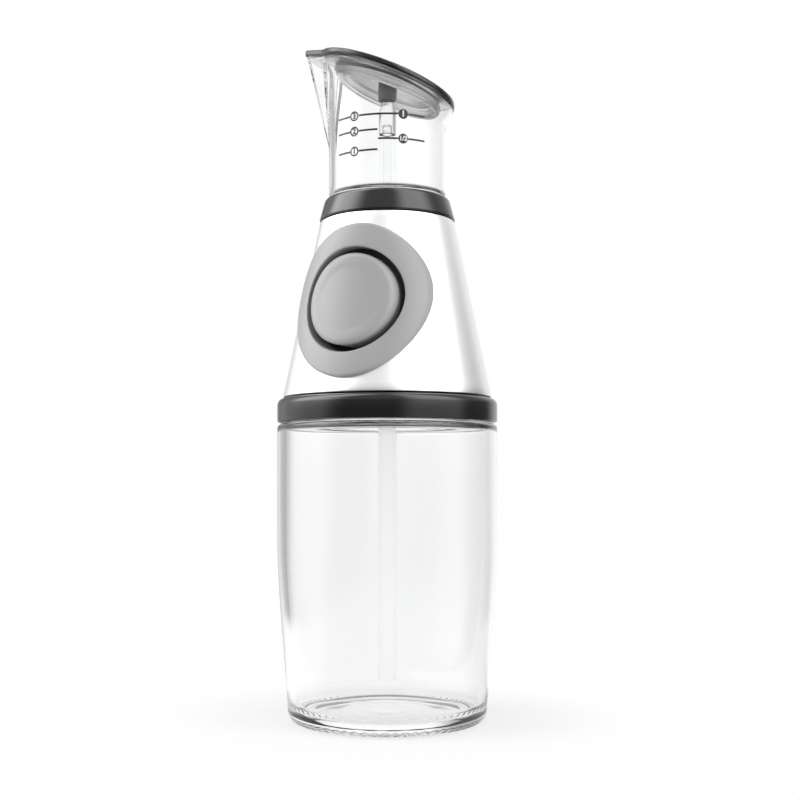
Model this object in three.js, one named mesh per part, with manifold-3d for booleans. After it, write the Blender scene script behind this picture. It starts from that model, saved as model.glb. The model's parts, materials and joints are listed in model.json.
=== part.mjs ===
// Oil dispenser bottle: a glass bottle with a screw-on pump head, a measuring cup and a slanted lid.
// Millimetres, +Z up, origin at the centre of the base. The button faces -Y.

import * as THREE from 'three';
import { mergeVertices } from 'three/addons/utils/BufferGeometryUtils.js';
import { ConvexGeometry } from 'three/addons/geometries/ConvexGeometry.js';
import Module from 'manifold-3d';

const wasm = await Module();
wasm.setup();

// Clearances
const restGap = 0.3;
const slideGap = 0.3;
const threadGap = 0.5;

// Smoothness of round pieces, in sides
const wideSides = 32;
const pumpSides = 24;
const smallSides = 16;
const screwSides = 10;

// How far a cutting tool runs past the face that it cuts
const overcut = 1;

// Glass bottle
const glassRadius = 35;
const footInset = 6.5;
const footWidth = 5;
const pushUp = 1.6;
const pushUpSlope = 3;
const heelInset = 3.2;
const heelHeight = 4;
const heelLean = 0.6;
const lowerHandle = 16;
const upperHandle = 18;
const fullRadiusHeight = 58;
const shoulderHeight = 94;
const shoulderRound = 1.4;
const glassWall = 2.8;
const glassFloor = 4.5;
const innerHeelRound = 4;
const neckInset = 9.6;
const neckWall = 3.2;
const neckHeight = 12;

// Screw thread between the neck and the collar
const threadPitch = 4.5;
const threadTurns = 1.2;
const threadDepth = 1.4;
const threadWidth = 1.8;
const threadTip = 0.9;
const threadRoot = 1;
const threadStepsPerTurn = 20;

// Collar and neck gasket
const collarGap = 0.5;
const collarHeight = 8.5;
const collarTopRound = 2.4;
const collarEdge = 0.6;
const hubWall = 1.9;
const flangeThickness = 3;
const gasketThickness = 1.6;

// Metal shell
const collarLedge = 1.8;
const shellTopRadius = 21.4;
const shellHeight = 54.7;
const shellWall = 0.8;

// Black ring under the cup
const ringHeight = 6.7;
const ringFootRadius = 21.7;
const ringTopRadius = 19.7;
const ringTopRound = 1.2;
const ringSideLean = 10;
const ringPlugDepth = 6;
const ringPlugWall = 1.6;
const ringFlange = 2.3;
const ringFlangeWidth = 5.6;
const ringTopWall = 2.8;
const ringLip = 2.8;
const bayonetDepth = 1.5;

// Inner frame and its screws
const plateThickness = 2;
const postThickness = 3.7;
const postWidth = 12;
const topPlateRadius = 19.4;
const topPlateBore = 8.5;
const screwHeadRadius = 2.2;
const screwHeadHeight = 1.6;
const screwRadius = 1.2;
const screwBite = 2;
const baseScrewAngles = [90, 230, 310];
const ringScrewAngles = [0, 180];

// Pump barrel, cap and plunger, along the button's axis, which is a share of the way up the inner frame
const buttonHeightShare = 0.497;
const barrelBore = 8;
const barrelWall = 1.5;
const barrelEnd = 9.5;
const capThickness = 1.3;
const capSpigot = 0.9;
const rodRadius = 3.2;
const rodGrip = 2;
const pistonLength = 3.2;
const sealWidth = 1.3;
const sealDepth = 1.2;
const buttonStroke = 5;

// Check valves and the tubes above and below the barrel
const stemRadius = 6;
const valveBore = 4.2;
const portWall = 1;
const portRadius = 1.8;
const ballRadius = 2.4;
const ballLift = 1.4;
const seatHole = 1.5;
const seatFoot = 1.2;
const seatCone = 1.3;
const cageTop = 1;
const cageBar = 1.4;
const sleeveLength = 4.6;
const tubeRadius = 2.85;
const tubeWall = 0.75;
const tubeEnd = 13;
const stemRingWidth = 1.4;
const stemRingDepth = 0.8;

// Button, boot, guide and bezel. The shares are of the metal shell's height
const buttonGap = 2;
const buttonProud = 1.6;
const buttonWall = 1.7;
const buttonFace = 5;
const buttonFlange = 1;
const buttonFlangeThickness = 1.5;
const holeShare = 0.2945;
const bezelProud = 1.6;
const bezelWidthShare = 0.4058;
const bezelHeightShare = 0.4333;
const bezelSpigot = 1.1;
const guideWall = 1.2;
const guideLip = 1.2;
const guideFlange = 1.5;
const bootThickness = 0.6;
const bootRise = 1.1;
const springWire = 0.9;
const springRoom = 1;
const springCoils = 4;
const springSides = 5;
const springStepsPerTurn = 8;

// Measuring cup and outlet column
const cupTurn = 16;
const cupRadius = 18.55;
const cupTaper = 0.15;
const cupWall = 1.5;
const cupFloorHeight = 2.2;
const cupFloor = 2;
const cupFloorRound = 2;
const cupFlare = 2.6;
const cupFlareHeight = 6;
const spigotDepth = 6.3;
const spigotWall = 1.8;
const lugAngles = [60, 180, 300];
const lugWidth = 6;
const lugHeight = 1.8;
const cupUnlockTurn = 60;
const cupRingWidth = 1.4;
const cupRingDepth = 0.8;
const columnRadius = 2.7;
const columnTipRadius = 2.2;
const columnTip = 5;
const columnShoulder = 1;
const columnBore = 1.3;
const columnFlange = 5;
const columnFlangeThickness = 2;
const columnSpigot = 3.7;
const columnPortHeight = 20.8;
const columnPortRadius = 1;

// Lid
const cupAndLidHeight = 50;
const lidSlope = 0.38;
const lidThickness = 2.5;
const lidRadius = 21.4;
const spoutReach = 26.6;
const spoutNose = 2.4;
const spoutHalfAngle = 24;
const spoutOverhang = 0.7;
const spoutFoot = 14.2;
const spoutRoot = 1;
const spoutWall = 1.4;
const plugDepth = 4;
const plugGap = 0.65;
const plugWall = 1.8;
const lidRingWidth = 1.6;
const lidRingDepth = 0.8;
const stopperRadius = 3.15;
const stopperDepth = 6.1;
const stopperGrip = 2.9;

// Air valve in the collar
const ventInset = 1.2;
const ventClear = 1.1;
const ventAngle = 90;
const ventHole = 1.5;
const ventCap = 3;
const ventCapThickness = 0.7;
const ventBarb = 1.9;
const ventBarbThickness = 0.8;

// Heights and radii that follow from the sizes above
const degree = Math.PI / 180;
const footRadius = glassRadius - footInset;
const heelRadius = glassRadius - heelInset;
const neckRadius = glassRadius - neckInset;
const collarRadius = glassRadius;
const shellFootRadius = collarRadius - collarLedge;
const collarFoot = shoulderHeight + collarGap;
const collarTop = collarFoot + collarHeight;
const neckTop = shoulderHeight + neckHeight;
const neckBore = neckRadius - neckWall;
const threadCrest = neckRadius + threadDepth;
const collarBore = threadCrest + threadGap;
const hubRadius = collarBore + hubWall;
const gasketFoot = neckTop + restGap;
const flangeFoot = gasketFoot + gasketThickness + restGap;
const flangeTop = flangeFoot + flangeThickness;
const shellFoot = collarTop + restGap;
const shellTop = shellFoot + shellHeight;
const ringFoot = shellTop + restGap;
const ringTop = ringFoot + ringHeight;
const ringPlugFoot = ringFoot - ringPlugDepth;
const ringPlugRadius = shellTopRadius - shellWall - restGap;
const ringFlangeBore = ringPlugRadius - ringPlugWall - ringFlangeWidth;
const ringScrewCircle = ringFlangeBore + ringFlangeWidth / 2;
const topPlateTop = ringPlugFoot - restGap;
const topPlateFoot = topPlateTop - plateThickness;
const ventCircle = neckBore - ventCap - ventInset;
const plateRadius = ventCircle - ventBarb - ventClear;
const baseScrewCircle = (stemRadius + slideGap + plateRadius) / 2;
const plateFoot = flangeTop + restGap;
const plateTop = plateFoot + plateThickness;
const buttonHeight = flangeTop + buttonHeightShare * (topPlateFoot - flangeTop);
const holeRadius = holeShare * shellHeight;
const buttonRadius = holeRadius - buttonGap;
const bezelHalfWidth = bezelWidthShare * shellHeight;
const bezelHalfHeight = bezelHeightShare * shellHeight;
const barrelRadius = barrelBore + barrelWall;
const inletTop = buttonHeight - barrelBore - portWall;
const outletFoot = buttonHeight + barrelBore + portWall;
const seatHeight = seatFoot + seatCone;
const ballRest = seatFoot - seatHole + (ballRadius + restGap) * Math.SQRT2;
const cageFoot = seatHeight + restGap;
const cageRoof = ballRest + ballRadius + ballLift + restGap;
const valveHeight = cageRoof + cageTop;
const inletFoot = inletTop - restGap - valveHeight;
const sleeveTop = inletFoot - restGap;
const stemFoot = sleeveTop - sleeveLength;
const stemTop = ringFoot;
const cupFoot = ringTop + restGap;
const cupFloorTop = ringTop + cupFloorHeight;
const lidTip = ringTop + cupAndLidHeight;
const lidTop = lidTip - lidSlope * spoutReach;
const lidUnder = lidTop - lidThickness;
const cupRim = lidUnder - restGap;
const cupBore = cupRadius - cupWall;
const bayonetBore = ringTopRadius - ringTopWall;
const spigotRadius = bayonetBore - restGap;
const holeFace = -(shellRadius(buttonHeight) + buttonProud);
const cavityFace = holeFace + buttonFace;
const rodEnd = cavityFace - rodGrip;
const bootRadius = holeRadius - restGap;
const bezelSpigotRadius = holeRadius + bezelSpigot;
const guideFront = 2 * restGap - shellDepth(bezelSpigotRadius);
const guideBack = -plateRadius - restGap;
const pistonFront = -portRadius - restGap - buttonStroke - pistonLength;
const barrelFront = pistonFront - capSpigot;
const capFront = barrelFront - restGap - capThickness;
const flangeRest = guideFront + guideLip + restGap;

// Outer radius of the metal cone at a height
function shellRadius(z) {
  return shellFootRadius + (shellTopRadius - shellFootRadius) * (z - shellFoot) / shellHeight;
}

// Least distance from the axis to the metal cone, along the button's axis, at a radius about that axis
function shellDepth(radius) {
  const depths = arc(0, 0, radius, 0, 180, wideSides).map(([rise, side]) =>
    Math.sqrt(shellRadius(buttonHeight + rise) ** 2 - side ** 2));
  return Math.min(...depths);
}

// Points along an arc in a profile, angles in degrees
function arc(centreR, centreZ, radius, from, to, steps) {
  return Array.from({ length: steps + 1 }, (_, i) => {
    const angle = (from + (to - from) * i / steps) * degree;
    return [centreR + radius * Math.cos(angle), centreZ + radius * Math.sin(angle)];
  });
}

// One closed skin: shared corners merged, slivers dropped, faces turned outwards
function closed(geometry) {
  const bare = geometry.clone();
  bare.deleteAttribute('normal');
  bare.deleteAttribute('uv');
  const merged = mergeVertices(bare, 1e-4);
  const corners = merged.index.array;
  const kept = [];
  for (let i = 0; i < corners.length; i += 3) {
    const [a, b, c] = corners.slice(i, i + 3);
    if (a !== b && b !== c && c !== a) kept.push(a, b, c);
  }
  merged.setIndex(signedVolume(merged, kept) < 0 ? kept.reverse() : kept);
  return merged;
}

function signedVolume(geometry, corners) {
  const [a, b, c] = [new THREE.Vector3(), new THREE.Vector3(), new THREE.Vector3()];
  let volume = 0;
  for (let i = 0; i < corners.length; i += 3) {
    a.fromBufferAttribute(geometry.attributes.position, corners[i]);
    b.fromBufferAttribute(geometry.attributes.position, corners[i + 1]);
    c.fromBufferAttribute(geometry.attributes.position, corners[i + 2]);
    volume += a.dot(b.cross(c)) / 6;
  }
  return volume;
}

// Solid of revolution about Z from a closed outline of [radius, height] points
function revolve(outline, sides = wideSides) {
  const loop = outline[0][0] === 0 ? outline : [...outline, outline[0]];
  const points = loop.map(([r, z]) => new THREE.Vector2(r, z));
  return closed(new THREE.LatheGeometry(points, sides).rotateX(Math.PI / 2));
}

function tubeOutline(inner, outer, from, to) {
  return [[inner, from], [outer, from], [outer, to], [inner, to]];
}

function rod(radius, from, to, sides = smallSides) {
  return revolve([[0, from], [radius, from], [radius, to], [0, to]], sides);
}

function box(x, y, z, width, depth, height) {
  return closed(new THREE.BoxGeometry(width, depth, height).translate(x, y, z + height / 2));
}

// Lays a piece that was made about Z along the button's axis, its height running inwards
function alongButton(geometry) {
  return geometry.rotateX(-Math.PI / 2).translate(0, 0, buttonHeight);
}

function solid(geometry) {
  const skin = closed(geometry);
  return new wasm.Manifold(new wasm.Mesh({
    numProp: 3,
    vertProperties: new Float32Array(skin.attributes.position.array),
    triVerts: new Uint32Array(skin.index.array),
  }));
}

function skinOf(body) {
  const mesh = body.getMesh();
  const geometry = new THREE.BufferGeometry();
  geometry.setAttribute('position', new THREE.BufferAttribute(mesh.vertProperties, 3));
  geometry.setIndex(new THREE.BufferAttribute(mesh.triVerts, 1));
  return geometry;
}

function join(...pieces) {
  return skinOf(pieces.map(solid).reduce((sum, piece) => sum.add(piece)));
}

function cut(piece, ...tools) {
  return skinOf(tools.map(solid).reduce((rest, tool) => rest.subtract(tool), solid(piece)));
}

function common(...pieces) {
  return skinOf(pieces.map(solid).reduce((shared, piece) => shared.intersect(piece)));
}

// Sweeps a closed section of [radius, height] points up a right-hand helix about Z
function helix(section, pitch, turns, stepsPerTurn, foot) {
  const steps = Math.round(turns * stepsPerTurn);
  const count = section.length;
  const positions = [];
  const corners = [];
  for (let i = 0; i <= steps; i++) {
    const angle = 2 * Math.PI * turns * i / steps;
    for (const [r, z] of section) {
      positions.push(r * Math.cos(angle), r * Math.sin(angle), foot + z + pitch * turns * i / steps);
    }
  }
  for (let i = 0; i < steps; i++) {
    for (let k = 0; k < count; k++) {
      const [a, b] = [i * count + k, i * count + (k + 1) % count];
      corners.push(a, b, a + count, b, b + count, a + count);
    }
  }
  for (let k = 1; k < count - 1; k++) {
    const last = steps * count;
    corners.push(0, k + 1, k, last, last + k, last + k + 1);
  }
  const geometry = new THREE.BufferGeometry();
  geometry.setAttribute('position', new THREE.Float32BufferAttribute(positions, 3));
  geometry.setIndex(corners);
  return closed(geometry);
}

// Slides the upper part of a piece along Z so that its top follows the slant of the lid
function slant(geometry, from, to) {
  const place = geometry.attributes.position;
  for (let i = 0; i < place.count; i++) {
    const share = THREE.MathUtils.clamp((place.getZ(i) - from) / (to - from), 0, 1);
    place.setZ(i, place.getZ(i) - lidSlope * place.getX(i) * share);
  }
  return geometry;
}

// Slants a whole piece with the lid
function slantAll(geometry) {
  const lean = new THREE.Matrix4().makeShear(0, -lidSlope, 0, 0, 0, 0);
  return geometry.applyMatrix4(lean);
}

// Moves a piece from the axis out to a circle about it, at an angle
function onCircle(geometry, circle, angle) {
  return geometry.translate(circle, 0, 0).rotateZ(angle * degree);
}

function material(color, roughness, metalness = 0, opacity = 1) {
  return new THREE.MeshStandardMaterial({
    color, roughness, metalness, opacity, transparent: opacity < 1,
  });
}

const clearGlass = material(0xf2f6f5, 0.02, 0, 0.25);
const clearPlastic = material(0xf4f6f6, 0.06, 0, 0.3);
const smokedPlastic = material(0x5c6064, 0.1, 0, 0.6);
const blackPlastic = material(0x0d0d0e, 0.12);
const greyPlastic = material(0xa7a7a8, 0.4);
const innerPlastic = material(0xdcdcda, 0.5);
const whiteTube = material(0xf0f0ee, 0.35, 0, 0.7);
const satinMetal = material(0xdedfe0, 0.3, 1);
const darkSilicone = material(0x161617, 0.6);
const clearSilicone = material(0xe6e6e3, 0.5, 0, 0.7);
const steel = material(0xbfc1c4, 0.2, 1);

const dispenser = new THREE.Group();
const cupGroup = new THREE.Group();
cupGroup.rotation.z = cupTurn * degree;
dispenser.add(cupGroup);

function place(name, geometry, surface, group = dispenser) {
  const mesh = new THREE.Mesh(geometry, surface);
  mesh.name = name;
  group.add(mesh);
}

// Tapered wall of the bottle from heel to full radius, as [radius, height] points
function wallCurve(steps) {
  const curve = new THREE.CubicBezierCurve(
    new THREE.Vector2(heelRadius, heelHeight),
    new THREE.Vector2(heelRadius + heelLean, heelHeight + lowerHandle),
    new THREE.Vector2(glassRadius, fullRadiusHeight - upperHandle),
    new THREE.Vector2(glassRadius, fullRadiusHeight),
  );
  return curve.getPoints(steps).map((point) => [point.x, point.y]);
}

function threadSection(root, reach) {
  const half = threadWidth / 2;
  return [[root, -half], [root + reach, -threadTip / 2], [root + reach, threadTip / 2], [root, half]];
}

const threadFoot = collarFoot + threadWidth / 2 + threadPitch / 2 + restGap;

function glassBottle() {
  const footInner = footRadius - footWidth;
  const heelRise = heelRadius - footRadius;
  const heel = arc(0, 0, 1, -90, 0, 3).map(([r, z]) => [footRadius + heelRise * r, heelHeight * (1 + z)]);
  const wall = wallCurve(5);
  const innerWall = wall.filter(([, z]) => z > glassFloor + innerHeelRound).reverse()
    .map(([r, z]) => [r - glassWall, z]);
  const innerHeel = innerWall.at(-1)[0];
  const innerShoulder = shoulderHeight - glassWall;
  const outline = [
    [0, pushUp],
    [footInner - pushUpSlope, pushUp],
    [footInner, 0],
    ...heel.slice(0, -1),
    ...wall,
    ...arc(glassRadius - shoulderRound, shoulderHeight - shoulderRound, shoulderRound, 0, 90, 3),
    [neckRadius, shoulderHeight],
    [neckRadius, neckTop],
    [neckBore, neckTop],
    [neckBore, innerShoulder],
    ...arc(glassRadius - glassWall - shoulderRound, innerShoulder - shoulderRound, shoulderRound, 90, 0, 3),
    ...innerWall,
    ...arc(innerHeel - innerHeelRound, glassFloor + innerHeelRound, innerHeelRound, 0, -90, 3),
    [0, glassFloor],
  ];
  const ridge = helix(threadSection(neckRadius - threadRoot, threadDepth + threadRoot), threadPitch, threadTurns,
    threadStepsPerTurn, threadFoot);
  return join(revolve(outline), ridge);
}

function collarRing() {
  const outline = [
    [collarBore, collarFoot],
    [collarRadius - collarEdge, collarFoot],
    [collarRadius, collarFoot + collarEdge],
    ...arc(collarRadius - collarTopRound, collarTop - collarTopRound, collarTopRound, 0, 90, 4),
    [hubRadius, collarTop],
    [hubRadius, flangeTop],
    [stemRadius + slideGap, flangeTop],
    [stemRadius + slideGap, flangeFoot],
    [collarBore, flangeFoot],
  ];
  const ridge = helix(threadSection(collarBore + threadRoot, -threadDepth - threadRoot), threadPitch, threadTurns,
    threadStepsPerTurn, threadFoot - threadPitch / 2);
  const vent = onCircle(rod(ventHole, flangeFoot - overcut, flangeTop + overcut), ventCircle, ventAngle);
  const holes = baseScrewAngles.map((angle) => screwHole(baseScrewCircle, angle, flangeTop - screwBite));
  return cut(join(revolve(outline), ridge), vent, ...holes);
}

// Clearance hole for a screw that points down from its circle, from a depth to well above
function screwHole(circle, angle, from) {
  const reach = screwBite + restGap + plateThickness + restGap;
  const hole = rod(screwRadius + slideGap, from - restGap, from + reach, screwSides);
  return onCircle(hole, circle, angle);
}

function housingShell() {
  const outline = [
    [shellFootRadius - shellWall, shellFoot],
    [shellFootRadius, shellFoot],
    [shellTopRadius, shellTop],
    [shellTopRadius - shellWall, shellTop],
  ];
  const spigotHole = bezelSpigotRadius + restGap;
  return cut(revolve(outline), alongButton(rod(spigotHole, -glassRadius, barrelFront, wideSides)));
}

function upperRing() {
  const lipFoot = ringTop - ringLip;
  const outline = [
    [ringFlangeBore, ringPlugFoot],
    [ringPlugRadius, ringPlugFoot],
    [ringPlugRadius, ringFoot],
    [ringFootRadius, ringFoot],
    ...arc(ringTopRadius - ringTopRound, ringTop - ringTopRound, ringTopRound, ringSideLean, 90, 3),
    [bayonetBore, ringTop],
    [bayonetBore, lipFoot],
    [bayonetBore + bayonetDepth, lipFoot],
    [bayonetBore + bayonetDepth, ringPlugFoot + ringFlange],
    [ringFlangeBore, ringPlugFoot + ringFlange],
  ];
  const screws = ringScrewAngles.map((angle) => screwHole(ringScrewCircle, angle, topPlateTop - screwBite));
  const notches = lugAngles.map((angle) => onCircle(
    box(0, 0, lipFoot - overcut, 2 * bayonetDepth, lugWidth + 2 * slideGap, ringLip + 2 * overcut),
    bayonetBore, cupTurn + angle + cupUnlockTurn));
  return cut(revolve(outline), ...screws, ...notches);
}

function chassis() {
  const postHeight = topPlateFoot - plateTop + plateThickness;
  const postMiddle = barrelRadius + restGap + postThickness / 2;
  const posts = [-1, 1].map((side) =>
    box(side * postMiddle, 0, plateTop - plateThickness / 2, postThickness, postWidth, postHeight));
  const frame = join(
    revolve(tubeOutline(stemRadius + slideGap, plateRadius, plateFoot, plateTop)),
    revolve(tubeOutline(topPlateBore, topPlateRadius, topPlateFoot, topPlateTop)),
    ...posts,
  );
  const baseHoles = baseScrewAngles.map((angle) => screwHole(baseScrewCircle, angle, plateFoot - restGap));
  const ringHoles = ringScrewAngles.map((angle) => screwHole(ringScrewCircle, angle, topPlateFoot - restGap));
  return cut(frame, ...baseHoles, ...ringHoles);
}

// Pan-head screw about Z, its head resting on the given height, shank downwards
function screw(seat) {
  const tip = seat - plateThickness - restGap - screwBite + restGap;
  return revolve([
    [0, tip],
    [screwRadius, tip],
    [screwRadius, seat + restGap],
    [screwHeadRadius, seat + restGap],
    [screwHeadRadius, seat + restGap + screwHeadHeight / 2],
    [screwHeadRadius / 2, seat + restGap + screwHeadHeight],
    [0, seat + restGap + screwHeadHeight],
  ], screwSides);
}

function pumpBarrel() {
  const body = join(
    alongButton(rod(barrelRadius, barrelFront, barrelEnd, pumpSides)),
    rod(stemRadius, stemFoot, stemTop),
  );
  const ringFloor = stemRadius - stemRingDepth;
  const ringMiddle = (flangeFoot + flangeTop) / 2;
  const groove = tubeOutline(ringFloor, stemRadius + overcut, ringMiddle - stemRingWidth / 2 - slideGap,
    ringMiddle + stemRingWidth / 2 + slideGap);
  return cut(body,
    alongButton(rod(barrelBore, barrelFront - overcut, barrelEnd - barrelWall, pumpSides)),
    rod(valveBore, stemFoot - overcut, inletTop),
    rod(valveBore, outletFoot, stemTop + overcut),
    rod(portRadius, inletTop - overcut, outletFoot + overcut),
    revolve(groove, smallSides));
}

// Insert with a conical seat for the ball
function valveSeat(foot) {
  const outer = valveBore - slideGap;
  return revolve([
    [seatHole, foot],
    [outer, foot],
    [outer, foot + seatHeight],
    [seatHole + seatCone, foot + seatHeight],
    [seatHole, foot + seatFoot],
  ], smallSides);
}

// Sleeve that guides the ball, with a bar across its top as the stop
function valveCage(foot) {
  const outer = valveBore - slideGap;
  const inner = ballRadius + slideGap;
  const shell = revolve(tubeOutline(inner, outer, foot + cageFoot, foot + valveHeight), smallSides);
  const bar = common(
    box(0, 0, foot + cageRoof, 2 * outer, cageBar, cageTop),
    rod(inner + (outer - inner) / 2, foot + cageRoof, foot + valveHeight),
  );
  return join(shell, bar);
}

function valveBall(foot) {
  return closed(new THREE.SphereGeometry(ballRadius, 12, 8).rotateX(Math.PI / 2)
    .translate(0, 0, foot + ballRest));
}

function ringAround(inner, outer, middle, width, sides = smallSides) {
  return revolve(tubeOutline(inner, outer, middle - width / 2, middle + width / 2), sides);
}

function barrelCap() {
  const back = barrelFront - slideGap;
  return alongButton(revolve([
    [rodRadius + slideGap, capFront],
    [barrelRadius, capFront],
    [barrelRadius, back],
    [barrelBore - slideGap, back],
    [barrelBore - slideGap, back + capSpigot],
    [rodRadius + slideGap, back + capSpigot],
  ], pumpSides));
}

function pistonMiddle() {
  return pistonFront + pistonLength / 2;
}

function plunger() {
  const pistonRadius = barrelBore - slideGap;
  const grooveFloor = pistonRadius - sealDepth;
  const grooveFront = pistonMiddle() - sealWidth / 2 - slideGap / 2;
  const grooveBack = pistonMiddle() + sealWidth / 2 + slideGap / 2;
  return alongButton(revolve([
    [0, rodEnd + restGap],
    [rodRadius, rodEnd + restGap],
    [rodRadius, pistonFront],
    [pistonRadius, pistonFront],
    [pistonRadius, grooveFront],
    [grooveFloor, grooveFront],
    [grooveFloor, grooveBack],
    [pistonRadius, grooveBack],
    [pistonRadius, pistonFront + pistonLength],
    [0, pistonFront + pistonLength],
  ], pumpSides));
}

// Coil between the barrel cap and the inside of the button
function returnSpring() {
  const coilRadius = rodRadius + springRoom + springWire;
  const from = cavityFace + restGap + springWire / 2;
  const to = capFront - restGap - springWire / 2;
  const section = arc(coilRadius, 0, springWire / 2, 0, 360, springSides).slice(0, springSides);
  return alongButton(helix(section, (to - from) / springCoils, springCoils, springStepsPerTurn, from));
}

// The metal cone grown outwards, filled to its axis
function grownCone(growth) {
  return revolve([
    [0, shellFoot],
    [shellFootRadius + growth, shellFoot],
    [shellTopRadius + growth, shellTop],
    [0, shellTop],
  ]);
}

function buttonCap() {
  const back = flangeRest + buttonFlangeThickness;
  const inner = buttonRadius - buttonWall;
  const body = alongButton(revolve([
    [0, -glassRadius],
    [buttonRadius, -glassRadius],
    [buttonRadius, flangeRest],
    [buttonRadius + buttonFlange, flangeRest],
    [buttonRadius + buttonFlange, back],
    [inner, back],
    [inner, cavityFace],
    [rodRadius + slideGap, cavityFace],
    [rodRadius + slideGap, rodEnd],
    [0, rodEnd],
  ]));
  return common(body, grownCone(buttonProud));
}

function bezel() {
  const oval = alongButton(rod(1, -glassRadius, 0, wideSides).scale(bezelHalfWidth, bezelHalfHeight, 1));
  const plate = cut(common(oval, grownCone(bezelProud)), grownCone(restGap));
  const sleeve = common(alongButton(rod(bezelSpigotRadius, -glassRadius, guideFront - restGap, wideSides)),
    grownCone(bezelProud));
  return cut(join(plate, sleeve), alongButton(rod(holeRadius, -glassRadius - overcut, overcut, wideSides)));
}

// Sleeve with a lip in front, and a flange behind that keeps inside the metal cone
function buttonGuide() {
  const outer = bezelSpigotRadius;
  const inner = outer - guideWall;
  const sleeve = revolve([
    [buttonRadius + slideGap, guideFront],
    [outer, guideFront],
    [outer, guideBack],
    [inner, guideBack],
    [inner, guideFront + guideLip],
    [buttonRadius + slideGap, guideFront + guideLip],
  ]);
  const flange = revolve(tubeOutline(inner, buttonHeight - flangeTop - restGap, guideBack - guideFlange, guideBack));
  return join(alongButton(sleeve), common(alongButton(flange), grownCone(-shellWall - restGap)));
}

function buttonBoot() {
  const foot = guideFront - restGap;
  return alongButton(revolve([
    [bootRadius, foot],
    [bootRadius, foot - bootThickness],
    [buttonRadius + slideGap, foot - bootThickness - bootRise],
    [buttonRadius + slideGap, foot - bootRise],
  ]));
}

// Rim outline of the cup or lid seen from above: a circle with a pouring nose towards -X
function spoutPoints(radius, reach, nose, halfAngle) {
  const centre = nose - reach;
  const [cornerX, cornerY] = [-radius * Math.cos(halfAngle * degree), radius * Math.sin(halfAngle * degree)];
  const away = Math.atan2(cornerY, cornerX - centre);
  const tangent = (away + Math.acos(nose / Math.hypot(cornerX - centre, cornerY))) / degree;
  return arc(centre, 0, nose, tangent, 360 - tangent, 6);
}

function lidOutline() {
  const nose = spoutPoints(lidRadius, spoutReach, spoutNose, spoutHalfAngle);
  const rim = arc(0, 0, lidRadius, spoutHalfAngle - 180, 180 - spoutHalfAngle, wideSides);
  return new THREE.Shape([...nose, ...rim].map(([x, y]) => new THREE.Vector2(x, y)));
}

// Wedge of the pouring spout: its top on the slanted rim, its foot on the wall of the cup
function spoutWedge(inset, rise) {
  const radius = cupRadius + cupFlare - inset;
  const reach = spoutReach - spoutOverhang - inset;
  const nose = spoutPoints(radius, reach, spoutNose - inset, spoutHalfAngle);
  const root = arc(0, 0, cupBore - spoutRoot, 180 - spoutHalfAngle, 180 + spoutHalfAngle, 2);
  const mouth = arc(0, 0, radius, 180 - spoutHalfAngle, 180 + spoutHalfAngle, 2);
  const top = [...nose, ...mouth, ...root].map(([x, y]) =>
    new THREE.Vector3(x, y, cupRim + rise - lidSlope * x));
  const foot = cupFloorTop + spoutFoot + inset;
  const low = [inset - cupRadius, spoutRoot - cupBore].map((x) => new THREE.Vector3(x, 0, foot));
  return new ConvexGeometry([...top, ...low]);
}

function measuringCup() {
  const spigotBore = spigotRadius - spigotWall;
  const spigotFoot = cupFoot - spigotDepth;
  const flareFoot = cupRim - cupFlareHeight;
  const ringMiddle = ringTop - ringLip / 2;
  const grooveFloor = spigotRadius - cupRingDepth;
  const upperRadius = cupRadius + cupTaper;
  const flare = (inset) => [0, 0.35, 0.7, 1].map((t) => [
    upperRadius - inset + cupFlare * t * t,
    flareFoot + cupFlareHeight * t,
  ]);
  const slantFrom = cupFloorTop + cupFloorRound;
  const outer = slant(revolve([
    [0, cupFloorTop - cupFloor],
    [spigotBore, cupFloorTop - cupFloor],
    [spigotBore, spigotFoot],
    [spigotRadius, spigotFoot],
    [spigotRadius, ringMiddle - cupRingWidth / 2 - slideGap / 2],
    [grooveFloor, ringMiddle - cupRingWidth / 2 - slideGap / 2],
    [grooveFloor, ringMiddle + cupRingWidth / 2 + slideGap / 2],
    [spigotRadius, ringMiddle + cupRingWidth / 2 + slideGap / 2],
    [spigotRadius, cupFoot],
    [cupRadius, cupFoot],
    [cupRadius, slantFrom],
    ...flare(0),
    [0, cupRim],
  ]), slantFrom, flareFoot);
  const hollow = slant(revolve([
    [0, cupFloorTop],
    ...arc(cupBore - cupFloorRound, cupFloorTop + cupFloorRound, cupFloorRound, -90, 0, 3),
    ...flare(cupWall),
    [upperRadius - cupWall + cupFlare, cupRim + lidThickness],
    [0, cupRim + lidThickness],
  ]), slantFrom, flareFoot);
  const lugs = lugAngles.map((angle) => onCircle(
    box(0, 0, ringTop - ringLip - restGap - lugHeight, bayonetDepth, lugWidth, lugHeight),
    spigotRadius + bayonetDepth / 2 - restGap, angle));
  return cut(join(outer, spoutWedge(0, 0), ...lugs), hollow, spoutWedge(spoutWall, lidThickness),
    rod(columnRadius + slideGap, cupFloorTop - cupFloor - overcut, cupFloorTop + overcut));
}

function columnRingMiddle() {
  return (stemTop + outletFoot + valveHeight) / 2;
}

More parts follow.
